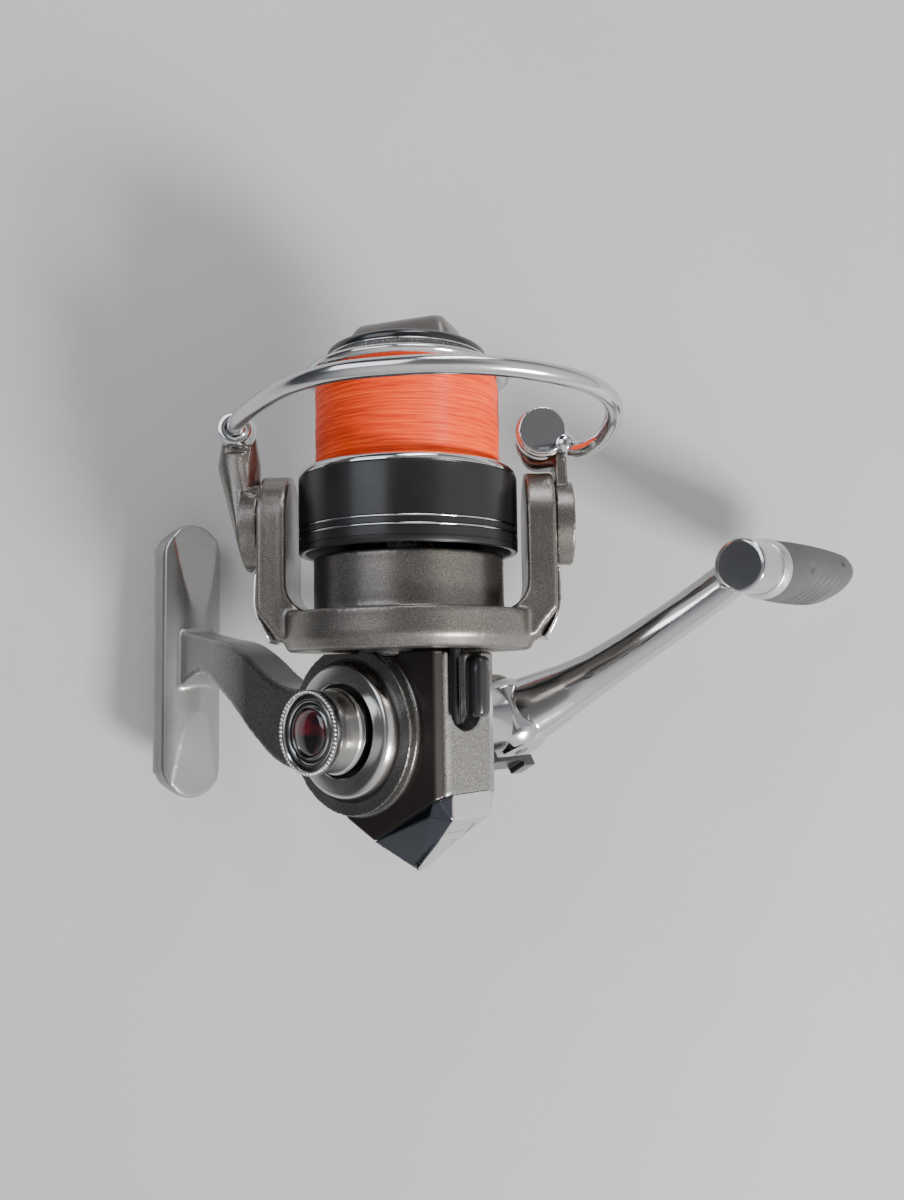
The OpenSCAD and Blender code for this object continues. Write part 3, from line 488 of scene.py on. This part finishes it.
def tube(path, sizes, point, sides=28, side=(0, 1, 0), power=2.0):
    """The shell of a rounded section carried along a path. sizes is (half width, half height) at each point
    of the path; side is the direction that the width lies near."""
    path = np.array(path, float)
    rows = len(path)
    verts = []
    for i, (wide, high) in enumerate(sizes):
        t = path[min(i + 1, rows - 1)] - path[max(i - 1, 0)]
        t /= np.linalg.norm(t)
        s = np.array(side, float)
        s -= t * (s @ t)
        s /= np.linalg.norm(s)
        u = np.cross(t, s)
        for k in range(sides):
            a = 2 * math.pi * k / sides
            x, y = squarish(math.cos(a), power) * wide, squarish(math.sin(a), power) * high
            verts.append(point(*(path[i] + s * x + u * y)))
    return verts, quads(rows, sides) + caps(rows, sides)


def swept(name, path, sizes, point, look, body, stands_for=(), slot=None, sides=28, side=(0, 1, 0),
          power=2.0):
    """A tube as a piece."""
    piece(name, *tube(path, sizes, point, sides, side, power), look, body, stands_for, slot, 50)


def solid(verts, faces):
    """A rough mesh of one closed shell, to be softened."""
    bm = bmesh.new()
    points = [bm.verts.new(v) for v in verts]
    for f in faces:
        bm.faces.new([points[i] for i in f])
    bmesh.ops.recalc_face_normals(bm, faces=bm.faces)
    mesh = bpy.data.meshes.new("rough")
    bm.to_mesh(mesh)
    bm.free()
    return mesh


def hull_of(points):
    """The convex hull of points in the row's frame, as a rough mesh."""
    bm = bmesh.new()
    for q in points:
        bm.verts.new(q)
    bmesh.ops.convex_hull(bm, input=bm.verts)
    bmesh.ops.delete(bm, geom=[v for v in bm.verts if not v.link_faces], context="VERTS")
    mesh = bpy.data.meshes.new("rough")
    bm.to_mesh(mesh)
    bm.free()
    return mesh


def remeshed(name, meshes, voxel):
    """The union of closed meshes in small voxels of that many millimetres."""
    bm = bmesh.new()
    for mesh in meshes:
        bm.from_mesh(mesh)
    bmesh.ops.remove_doubles(bm, verts=bm.verts, dist=1e-6)
    rough = bpy.data.meshes.new(name + "_rough")
    bm.to_mesh(rough)
    bm.free()
    o = bpy.data.objects.new(name + "_rough", rough)
    bpy.context.scene.collection.objects.link(o)
    remesh = o.modifiers.new("remesh", "REMESH")
    remesh.mode = "VOXEL"
    remesh.voxel_size = voxel * MM
    remesh.adaptivity = 0.0
    mesh = bpy.data.meshes.new_from_object(o.evaluated_get(bpy.context.evaluated_depsgraph_get()))
    bpy.data.objects.remove(o)
    return mesh


def relax(mesh, passes, low=None, high=None):
    """Smooths a mesh without shrinking it, and holds it in a box if there is one."""
    co = np.zeros(len(mesh.vertices) * 3)
    mesh.vertices.foreach_get("co", co)
    co = co.reshape(-1, 3)
    ends = np.zeros(len(mesh.edges) * 2, int)
    mesh.edges.foreach_get("vertices", ends)
    ends = ends.reshape(-1, 2)
    neighbours = np.bincount(ends.ravel(), minlength=len(co)).astype(float)[:, None]
    for _ in range(passes):
        for factor in (0.62, -0.64):
            total = np.zeros_like(co)
            np.add.at(total, ends[:, 0], co[ends[:, 1]])
            np.add.at(total, ends[:, 1], co[ends[:, 0]])
            co = co + factor * (total / np.maximum(neighbours, 1) - co)
    if low is not None:
        co = np.clip(co, low, high)
    mesh.vertices.foreach_set("co", co.ravel())
    mesh.update()


def shaped(name, meshes, voxel, passes, look, body, nodes, low=None, high=None):
    """Closed meshes joined and rounded into one piece."""
    mesh = remeshed(name, meshes, voxel)
    relax(mesh, passes, low, high)
    mesh.materials.clear()
    mesh.shade_smooth()
    mesh.name = name
    as_piece(name, mesh, look, body, nodes)


def softened(name, node, voxel, passes, look, body, extra=()):
    """The CAD node's own shape with its edges rounded, held inside the node's own box."""
    low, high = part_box(node)
    shaped(name, [NODES[node].data, *extra], voxel, passes, look, body, [node],
           np.array(low), np.array(high))


# ---------- spool ----------


def skirt():
    groove = ((19.98, -0.26), (19.7, -0.2), (19.7, 0.2), (19.98, 0.26))
    grooves = [(r, z + d) for z in BANDS for r, d in groove]
    profile = [(18.62, 0.5), (18.8, 0.15), (19.15, 0.02), (19.6, 0.02), (19.86, 0.14), (19.97, 0.45),
               (19.97, 1.0), (19.86, 1.08), (19.86, 1.2), (19.98, 1.28), *grooves, (20.0, 9), (20.0, 13.5),
               (19.9, 13.62), (19.7, 13.64), (18.62, 13.64)]
    turned("skirt_shell", profile, spool_point, "black", "spool", ["spool_skirt"], steps=224, angle=28)
    for i, z in enumerate(BANDS):
        half = [(19.6, 0.19), (19.86, 0.18), (19.95, 0.1)]
        profile = [(r, z - d) for r, d in half] + [(19.98, z)] + [(r, z + d) for r, d in half[::-1]]
        turned("skirt_band_%d" % (i + 1), profile, spool_point, "chrome", "spool", slot="chrome", steps=224,
               angle=60)


def rim():
    profile = [(ARBOR_R, 13.66), (19.82, 13.66), (19.96, 13.74), (19.98, 13.9), (19.9, 14.3), (19.62, 14.75),
               (19.2, 15.12), (18.7, 15.38), (18.2, 15.48), (17.4, LINE_LOW), (ARBOR_R, LINE_LOW)]
    turned("skirt_rim_polished", profile, spool_point, "chrome", "spool", ["skirt_rim"], steps=224, angle=40)


def lip():
    profile = [(ARBOR_R, 31.92), (17.2, 31.92), (18.1, 32.12), (18.7, 32.5), (18.95, 32.85), (18.99, 33.05),
               (18.92, 33.3), (18.6, 33.65), (17.8, 34.05), (16.6, 34.35), (15.4, 34.47), (14.32, 34.5),
               (14.22, 33.4), (ARBOR_R, 33.4)]
    turned("lip_polished", profile, spool_point, "chrome", "spool", ["spool_lip"], steps=192, angle=40)


def line_on_spool():
    """A ridge for each turn of the line, on a face that bulges a little and isn't quite even."""
    turns = 84
    across = LINE_HIGH - LINE_LOW
    z = np.linspace(LINE_LOW, LINE_HIGH, turns * 4 + 1)
    bulge = np.interp(z, [LINE_LOW, 15.9, 16.6, 19, 22.5, 26, 29.5, 31.2, LINE_HIGH],
                      [16.5, 16.85, 16.96, 16.9, 16.99, 16.88, 16.97, 16.85, 16.6])
    uneven = np.random.default_rng(7).normal(0, 0.035, turns + 1)
    ridge = 0.075 * np.sqrt(np.abs(np.sin(np.pi * (z - LINE_LOW) / (across / turns))))
    radius = bulge - 0.1 + ridge + np.interp(z, np.linspace(LINE_LOW, LINE_HIGH, turns + 1), uneven)
    face = list(zip(radius.tolist(), z.tolist()))
    turned("line_wound", [(ARBOR_R, LINE_LOW), *face, (ARBOR_R, LINE_HIGH)], spool_point, "line", "spool",
           ["wound_line"], steps=180, angle=75)


skirt()
rim()
line_on_spool()
lip()

# ---------- drag ----------


def grip_band(radius, low, high, teeth, depth):
    """The drag knob's narrow band, its face cut into small teeth."""
    edge = [(-1.2, 0), (-0.25, 0), (-0.05, 0.12), (0, 0.35), (0, 0.65), (-0.05, 0.88), (-0.25, 1), (-1.2, 1)]
    steps = teeth * 4
    verts = []
    for k in range(steps):
        a = 2 * math.pi * k / steps
        cut = depth * (0.5 - 0.5 * math.cos(math.pi * k / 2 + 0.3))
        for inwards, up in edge:
            r = radius + inwards - (cut if inwards > -0.3 else 0)
            verts.append(spool_point(r * math.cos(a), r * math.sin(a), low + up * (high - low)))
    piece("drag_grip_band", verts, quads(steps, len(edge), True), "granular", "drag", slot="dark_plastic",
          angle=50)


def rounded(wide, high, radius, z, steps=6):
    """A rectangle with round corners, at height z."""
    return [(cx * (wide - radius) + radius * math.cos(math.radians(start + 90 * k / steps)),
             cy * (high - radius) + radius * math.sin(math.radians(start + 90 * k / steps)), z)
            for cx, cy, start in ((1, 1, 0), (-1, 1, 90), (-1, -1, 180),
                                  (1, -1, 270)) for k in range(steps + 1)]


def drag_bar():
    """The bar that is gripped. Each ring is its half width, half length, corner radius and height."""
    rings = [rounded(*ring) for ring in (
        (6.2, 10.5, 1.6, 36.3), (6.2, 10.5, 1.6, 37.6), (5.95, 10.2, 1.7, 39.0), (5.35, 9.6, 1.8, 41.0),
        (4.75, 8.95, 1.8, 42.3), (4.2, 8.4, 1.7, 42.95), (3.4, 7.6, 1.5, 43.18))]
    point = turned_by(spool_point, math.radians(20))
    across = len(rings[0])
    faces = quads(len(rings), across) + caps(len(rings), across)
    piece("drag_bar", [point(*p) for ring in rings for p in ring], faces, "knob", "drag", ["drag_knob"],
          "dark_plastic", 45)


def drag_knob():
    flange = [(1.8, 34.82), (14.1, 34.82), (14.6, 34.9), (14.85, 35.1), (14.85, 35.9), (14.6, 36.1),
              (1.8, 36.1)]
    turned("drag_flange", flange, spool_point, "dark", "drag", slot="dark_plastic")
    grip_band(14.98, 34.9, 35.88, 130, 0.1)
    dome = [(8.2, 36.12), (14.4, 36.12), (14.74, 36.16), (14.82, 36.35), (14.8, 36.9), (14.62, 37.35),
            (14.2, 37.72), (13.4, 38.02), (12.2, 38.28), (10.6, 38.48), (8.6, 38.6), (5, 38.64),
            (0.01, 38.65), (0.01, 36.3)]
    turned("drag_dome_gloss", dome, spool_point, "gloss", "drag", ["drag_dome"], steps=192, angle=60)
    ring = [(14.2, 35.86), (14.93, 35.86), (15.0, 35.93), (14.98, 36.08), (14.88, 36.14), (14.2, 36.14)]
    turned("drag_edge_ring", ring, spool_point, "chrome", "drag", slot="chrome", steps=192, angle=60)
    drag_bar()


drag_knob()

# ---------- bail ----------


def bail_wire():
    route = curve([(28.3, -4.6, 19), (31.4, -7, 17.8), (34.4, -11, 18.9), (35.5, -17, 20.9),
                   (33.9, -23.5, 22.2), (29.6, -29.2, 23), (23.4, -33.7, 23.3), (15.6, -36.8, 23.5),
                   (7, -38.3, 23.5), (-1, -37.6, 23.5), (-9.2, -35.2, 23.5), (-16.8, -29.6, 23.4),
                   (-23.2, -21, 23.2), (-28.2, -12.4, 23.1), (-30.9, -5.2, 23.1)], 12)
    swept("bail_wire_bent", route, [(WIRE_R, WIRE_R)] * len(route), rotor_point, "wire", "bail",
          ["bail_wire"], sides=32, side=(0, 0, 1))


def wire_collar():
    profile = [(1.75, 1.5), (1.75, 3.0), (2.0, 3.1), (2.6, 3.1), (2.85, 3.0), (2.95, 2.75), (3.05, 2.3),
               (3.25, 1.4), (3.38, 0.8), (3.46, 0.4), (3.46, 0.0), (0.01, 0.0), (0.01, 1.5)]
    turned("collar_polished", profile, collar_point, "chrome", "bail", ["wire_collar"], steps=96, angle=45)


def line_roller():
    face = [(0.01, 6.28), (0.5, 6.28), (0.72, 6.36), (0.9, 6.52), (1.15, 6.6), (2.0, 6.64), (3.4, 6.64),
            (4.0, 6.58), (4.32, 6.4), (4.5, 6.1), (4.62, 5.6), (4.68, 5.0), (4.68, 3.7), (4.6, 3.45),
            (4.4, 3.4), (0.01, 3.4)]
    turned("roller_cap_face", face, roller_point, "cap", "bail", slot="chrome", steps=128, angle=30)
    softened("roller_cap_body", "roller_cap", 0.18, 8, "chrome", "bail")
    roller = [(1.3, 3.15), (3.3, 3.15), (3.55, 3.0), (3.55, 2.75), (2.65, 1.6), (2.6, 1.15), (2.65, 0.75),
              (3.55, -0.45), (3.55, -0.85), (3.35, -1.05), (1.3, -1.05)]
    turned("line_roller_lathed", roller, roller_point, "brass", "roller", ["line_roller"], steps=96)


bail_wire()
softened("bail_arm_wide", "bail_arm_left", 0.22, 10, "pewter", "bail")
softened("bail_arm_narrow", "bail_arm_right", 0.22, 10, "pewter", "bail")
wire_collar()
line_roller()

# ---------- rotor ----------


def arm_cover_trim(side, point):
    """The bright strip down the outside of one of the rotor's arms."""
    path = curve([(26.95, 0, -3.0), (26.97, 0, -6), (26.9, 0, -9.2), (26.3, 0, -11.6), (25.35, 0, -13.7),
                  (24.4, 0, -15.5)])
    widths = np.interp(path[:, 2], [-15.5, -14.8, -12, -6, -3.4, -3.0], [5.4, 6.6, 7.2, 6.5, 5.9, 5.2])
    swept("cover_trim_" + side, path, [(wide, 0.62) for wide in widths], point, "trim", "rotor",
          ["arm_cover_" + side], "chrome", sides=48, power=3.2)


softened("rotor_cast", "rotor", 0.4, 34, "pewter", "rotor")
arm_cover_trim("right", rotor_point)
arm_cover_trim("left", lambda a, b, c: rotor_point(-a, -b, c))

# ---------- body ----------


def rear_cover():
    """The cover's own shape, with the hollow behind its facets filled."""
    wide_end = [(x, y, z) for x in (-4.6, 4.6) for y, z in ((-46.2, -13.7), (-44.9, -12.6))]
    narrow_end = [(x, y, z) for x in (-1.4, 1.4) for y, z in ((-56.1, -2.2), (-54.4, -1.8))]
    fill = hull_of([body_point(*q) for q in wide_end + narrow_end])
    softened("rear_cover_cast", "rear_cover", 0.25, 4, "cover", "reel_body", [fill])


def antireverse_lever():
    """Places along Y and radii of the lever's rounded bar, and its shaft."""
    bar = [(-29.15, 0.6), (-29.1, 1.2), (-28.8, 1.65), (-28.2, 1.88), (-26, 1.92), (-22, 1.92), (-19.6, 1.88),
           (-19.0, 1.65), (-18.7, 1.2), (-18.65, 0.6)]
    swept("switch_lever", [(-0.12, y, -15.6) for y, r in bar], [(r, r * 1.03) for y, r in bar], body_point,
          "gloss", "antireverse", ["antireverse_lever"], sides=48, side=(1, 0, 0), power=2.6)
    swept("switch_shaft", [(0.6, y, -10.9) for y in (-30.4, -20, -9.5)], [(1.18, 1.18)] * 3, body_point,
          "gloss", "antireverse", slot="dark_plastic", sides=32, side=(1, 0, 0))


def cap_beads(count, ring_r, bead_r, height):
    """The ring of small beads around the screw cap's lens."""
    rows, across = 6, 8
    verts, faces = [], []
    for k in range(count):
        point = turned_by(cap_point, 2 * math.pi * k / count)
        faces += [tuple(len(verts) + i for i in quad) for quad in quads(rows, across)]
        for i in range(rows):
            lat = math.pi * i / (rows - 1) - math.pi / 2
            for j in range(across):
                lon = 2 * math.pi * j / across
                verts.append(point(ring_r + bead_r * math.cos(lat) * math.cos(lon),
                                   bead_r * math.cos(lat) * math.sin(lon), height + bead_r * math.sin(lat)))
    piece("cap_beads", verts, faces, "chrome", "crank", slot="chrome", angle=80)


def screw_cap():
    collar = [(8.3, 10.0), (8.3, 12.0), (8.5, 12.2), (11.0, 12.2), (11.45, 12.05), (11.75, 11.7),
              (12.0, 11.0), (12.15, 10.4), (12.2, 10.0)]
    turned("collar_ring", collar, cap_point, "collar", "reel_body", ["cap_collar"], slot="chrome")
    cap = [(2.1, 12.4), (6.25, 12.4), (7.5, 12.42), (7.58, 12.6), (7.58, 13.3), (7.4, 13.5), (7.22, 13.7),
           (7.15, 14.1), (7.12, 16.6), (7.16, 17.3), (7.28, 17.9), (7.33, 18.3), (7.34, 18.6), (7.34, 19.2),
           (7.2, 19.35), (6.95, 19.35), (6.75, 19.2), (6.6, 18.95), (5.9, 18.85), (5.75, 19.05),
           (5.55, 19.12), (5.35, 19.05), (5.2, 18.85), (4.75, 18.82), (4.6, 19.0), (4.4, 19.08),
           (4.2, 19.0), (4.1, 18.75), (4.05, 18.3), (2.1, 18.3)]
    turned("cap_body", cap, cap_point, "cap_chrome", "crank", ["screw_cap"], angle=40)
    cap_beads(60, 6.95, 0.33, 19.4)
    lens = [(0.01, 19.55), (1.2, 19.53), (2.4, 19.42), (3.3, 19.22), (3.8, 19.0), (3.95, 18.8), (3.95, 18.4),
            (0.01, 18.4)]
    turned("cap_lens_domed", lens, cap_point, "lens", "crank", ["cap_lens"], steps=128, angle=60)


softened("body_cast", "body_housing", 0.42, 12, "casting", "reel_body")
rear_cover()
softened("side_plate_pressed", "side_plate", 0.25, 5, "plate", "reel_body")
antireverse_lever()
screw_cap()

# ---------- handle ----------


def handle_arm():
    """The arm with the drum that turns on the fold pin and the boss that holds the knob's spindle."""
    path = curve([(-0.5, 0, PIN + 0.2), (4, 0, PIN + 2.0), (9, 0, PIN + 4.4), (14, 0, PIN + 6.2),
                  (19.5, 0, PIN + 7.5), (27, 0, PIN + 8.4), (36, 0, PIN + 8.75), (46, 0, PIN + 8.5),
                  (53, 0, PIN + 7.9), (ARM_LENGTH, 0, PIN + 7.0)], 6)
    at = [-0.5, 4, 9, 14, 20, 30, 44, 60]
    wide = np.interp(path[:, 0], at, [7.2, 7.1, 6.3, 5.3, 4.55, 4.1, 3.75, 3.6])
    thick = np.interp(path[:, 0], at, [6.2, 6.4, 5.6, 4.7, 4.0, 3.55, 3.2, 3.0])
    bar = tube(path, list(zip(wide, thick)), crank_point, 48, power=2.3)
    drum_half, drum_r, barrel_r = 7.4, 7.4, 9.0
    across = np.linspace(-drum_half, drum_half, 25)
    radii = [min(drum_r, math.sqrt(barrel_r ** 2 - b * b)) for b in across]
    drum = tube([(0, b, PIN) for b in across], [(r, r) for r in radii], crank_point, 72, (1, 0, 0))
    ends = [(40.0, 4.75), (40.35, 5.1), (44, 5.1), (47.9, 5.1), (48.2, 4.9)]
    boss = tube([(ARM_LENGTH, 0, c) for c, r in ends], [(r, r) for c, r in ends], crank_point, 64, (1, 0, 0))
    shaped("arm_forged", [solid(*bar), solid(*drum), solid(*boss)], 0.3, 9, "arm", "arm", ["handle_arm"])


def handle_hub():
    profile = [(0.01, 14.25), (6.4, 14.25), (6.9, 14.5), (7.4, 15.1), (7.58, 15.7), (7.6, 16.2), (7.6, 28.5),
               (7.5, 28.7), (7.25, 28.85), (0.01, 28.85)]
    turned("hub_turned", profile, crank_point, "arm", "crank", ["handle_hub"], "chrome")


def arm_screw():
    """The screw in the drum's side, in a raised ring."""
    ring = [(1.3, 6.3), (1.3, 7.75), (1.5, 8.0), (1.85, 8.05), (2.15, 7.9), (2.3, 7.5), (2.35, 6.3)]
    turned("arm_screw_ring", ring, drum_point, "chrome", "arm", slot="chrome", steps=72, angle=60)
    head = [(0.01, 6.9), (0.35, 6.9), (0.45, 7.2), (1.2, 7.2), (1.25, 7.0), (1.25, 6.3), (0.01, 6.3)]
    turned("arm_screw_head", head, drum_point, "dark", "arm", slot="steel", steps=48)


handle_hub()
softened("fold_pin_domed", "fold_pin", 0.15, 6, "pewter", "crank")
handle_arm()
arm_screw()
softened("lock_lever_moulded", "lock_lever", 0.18, 8, "gloss", "lock")

# ---------- knob ----------


def knob_fittings():
    collar = [(1.8, 3.5), (4.9, 3.5), (5.15, 3.6), (5.3, 3.9), (5.6, 4.7), (5.85, 5.3), (5.9, 5.6),
              (5.8, 5.85), (5.5, 5.9), (1.8, 5.9)]
    turned("knob_collar_satin", collar, knob_point, "satin", "knob", ["knob_collar"], slot="chrome",
           steps=128, angle=45)
    face = [(0.01, -4.35), (1.75, -4.35), (1.8, -4.75), (1.95, -4.9), (3.4, -4.95), (3.7, -4.85),
            (3.74, -4.6), (3.74, -3.3), (0.01, -3.3)]
    turned("spindle_face", face, knob_point, "cap", "arm", ["knob_spindle"], slot="steel", steps=96)
    rivet = [(0.01, -4.72), (0.6, -4.7), (1.1, -4.6), (1.45, -4.4), (1.5, -4.2), (0.01, -4.2)]
    turned("spindle_rivet", rivet, knob_point, "dark", "arm", slot="dark_plastic", steps=64)


# The knob's half width and half depth at distances from its zero
KNOB_SHAPE = [(5.9, 5.35, 5.3), (6.3, 5.6, 5.45), (9, 5.85, 5.45), (13, 6.4, 5.25), (19, 6.95, 5.0),
              (26, 7.15, 4.75), (32, 7.15, 4.5), (36, 7.0, 4.2), (38.6, 6.4, 3.8), (40.2, 5.4, 3.2),
              (41.0, 4.1, 2.4), (41.35, 2.6, 1.5), (41.4, 0.9, 0.5)]
KNOB_LOW, KNOB_ROUND, KNOB_HIGH = 5.9, 36, 41.4     # its start, where its end begins to round, and its end
GROOVES = 5
GROOVE_HALF = 6.0                                   # how far the grooves reach from the middle
DIMPLES = ((14.5, 0.55), (30.5, 0.2))               # distance, and angle around the knob


def knob_depth(x, c, angle):
    """How deep the grooves and dimples cut at a place on the knob."""
    deep = 0.0
    if abs(x) < GROOVE_HALF:
        for i in range(GROOVES):
            off = c - (17.5 + 3.1 * i) - 0.045 * x * x
            deep += 0.42 * math.exp(-(off / 0.42) ** 2) * min(1.0, (GROOVE_HALF - abs(x)) / 1.2)
    for at, side in DIMPLES:
        off = math.hypot(c - at, (angle - side) * 6.0)
        deep += 0.5 * math.exp(-off ** 4)
    return deep


def knob():
    sides = 144
    end = KNOB_ROUND + (KNOB_HIGH - KNOB_ROUND) * np.sin(np.linspace(0, math.pi / 2, 34))[1:]
    distances = np.concatenate([np.linspace(KNOB_LOW, KNOB_ROUND, 170), end])
    at, widths, depths = np.array(KNOB_SHAPE).T
    verts = []
    for c, wide, thick in zip(distances, np.interp(distances, at, widths), np.interp(distances, at, depths)):
        for k in range(sides):
            a = 2 * math.pi * k / sides
            x = math.copysign(abs(math.cos(a)) ** 0.86, math.cos(a)) * wide
            y = math.copysign(abs(math.sin(a)) ** 0.86, math.sin(a)) * thick
            deep = knob_depth(x, c, math.atan2(y / thick, x / wide))
            left = 1 - deep / max(math.hypot(x, y), 1.5)
            verts.append(knob_point(x * left, y * left, c))
    rows = len(distances)
    piece("knob_moulded", verts, quads(rows, sides) + caps(rows, sides), "grip", "knob", ["handle_knob"],
          "grip", 70)


knob_fittings()
knob()

# ---------- camera: the way that its back faces, as a heading and a height, then its roll ----------
EYE = Vector((0.13414, -0.00593, -0.19947))
HEADING, HEIGHT, ROLL = (math.radians(v) for v in (-6.1665, -40.1379, -94.8534))
LENS = 30.065
BACK = Vector((math.cos(HEIGHT) * math.cos(HEADING), math.cos(HEIGHT) * math.sin(HEADING), math.sin(HEIGHT)))
LEVEL = Vector((0, 0, 1)).cross(BACK).normalized()
RIGHT = LEVEL * math.cos(ROLL) + BACK.cross(LEVEL) * math.sin(ROLL)
UP = BACK.cross(RIGHT)


def placed(at):
    """The camera's directions, at a place."""
    return Matrix([(RIGHT[i], UP[i], BACK[i], at[i]) for i in range(3)] + [(0, 0, 0, 1)])


def camera():
    cam = bpy.data.objects.new("camera", bpy.data.cameras.new("camera"))
    bpy.context.scene.collection.objects.link(cam)
    cam.matrix_world = placed(EYE)
    cam.data.sensor_fit = "AUTO"
    cam.data.sensor_width = 36
    cam.data.lens = LENS
    cam.data.clip_start = 0.01
    cam.data.clip_end = 10
    bpy.context.scene.camera = cam


camera()

# ---------- floor: a table just behind the reel, seen through from its back ----------


def table():
    m = material("table", (0.47, 0.475, 0.48), 0.0, 0.62, spec=0.3)
    feed(m, "Base Color", ramp(m, noise(m, 9, 5), [(0.35, (0.46, 0.465, 0.468)), (0.65,
                                                                                  (0.485, 0.49, 0.493))]))
    bump(m, noise(m, 500, 3), 0.08, 0.0003)
    mix = add(m, "MixShader")
    link(m, add(m, "NewGeometry").outputs["Backfacing"], mix.inputs["Fac"])
    link(m, shader(m).outputs["BSDF"], mix.inputs[1])
    link(m, add(m, "BsdfTransparent").outputs["BSDF"], mix.inputs[2])
    link(m, mix.outputs["Shader"], m.node_tree.nodes["Material Output"].inputs["Surface"])
    return m


def stage_floor(half=1.5, gap=0.0002):
    deepest = min(v.co.dot(BACK) for node in NODES.values() for v in node.data.vertices)
    mesh = bpy.data.meshes.new("floor")
    mesh.from_pydata([(-half, -half, 0), (half, -half, 0), (half, half, 0), (-half, half, 0)], [],
                     [(0, 1, 2, 3)])
    floor = bpy.data.objects.new("floor", mesh)
    bpy.context.scene.collection.objects.link(floor)
    floor.matrix_world = placed(BACK * (deepest - gap))
    floor.data.materials.append(table())


stage_floor()

# ---------- light ----------
AIM = Vector((-0.02, 0.005, -0.07))
world = bpy.data.worlds.new("studio")
bpy.context.scene.world = world
world.use_nodes = True
DIRECTIONS = add(world, "TexCoord").outputs["Generated"]


def facing(direction):
    """How far a direction of the world is from another, from -1 to 1."""
    dot = add(world, "VectorMath", operation="DOT_PRODUCT")
    dot.inputs[1].default_value = direction.normalized()
    link(world, DIRECTIONS, dot.inputs[0])
    return dot.outputs["Value"]


def room_light():
    """A room that is bright on one side and dark on the other, with a dark card around the camera."""
    room_stops = [(0.0, (0.03, 0.032, 0.036)), (0.42, (0.12, 0.125, 0.135)), (0.6, (0.5, 0.51, 0.54)),
                  (0.78, (1.0, 0.99, 0.97)), (1.0, (1.25, 1.22, 1.18))]
    room = ramp(world, span(world, facing(RIGHT * 0.55 - UP * 0.45 + BACK * 0.7), -1.0, 1.0), room_stops)
    card_stops = [(0.0, grey(1)), (0.55, grey(1)), (0.8, (0.34, 0.34, 0.35)), (1.0, (0.24, 0.24, 0.25))]
    card = ramp(world, span(world, facing(BACK + RIGHT * 0.05 + UP * 0.25), 0.6, 1.0), card_stops)
    background = world.node_tree.nodes["Background"]
    link(world, mixed(world, room, card, blend="MULTIPLY"), background.inputs["Color"])
    background.inputs["Strength"].default_value = 0.85


def softbox(name, right, up, back, size, power, colour, ratio=1.0):
    """A soft light at a place in the camera's directions from the reel, turned to it."""
    light = bpy.data.lights.new(name, "AREA")
    light.shape = "RECTANGLE"
    light.size = size
    light.size_y = size * ratio
    light.energy = power
    light.color = colour
    o = bpy.data.objects.new(name, light)
    bpy.context.scene.collection.objects.link(o)
    o.location = AIM + RIGHT * right + UP * up + BACK * back
    o.rotation_mode = "QUATERNION"
    o.rotation_quaternion = (AIM - o.location).to_track_quat("-Z", "Y")
    o.visible_camera = False


room_light()
softbox("key", 0.62, -0.5, 0.62, 0.24, 17, (1.0, 0.97, 0.93))
softbox("fill", -0.5, 0.45, 0.6, 0.6, 3.0, (0.9, 0.95, 1.0))
softbox("top", 0.1, 0.9, 0.35, 0.5, 3.5, (0.95, 0.97, 1.0), 0.5)
softbox("behind", 0.0, -0.1, -0.9, 0.9, 4, (1.0, 1.0, 1.0))
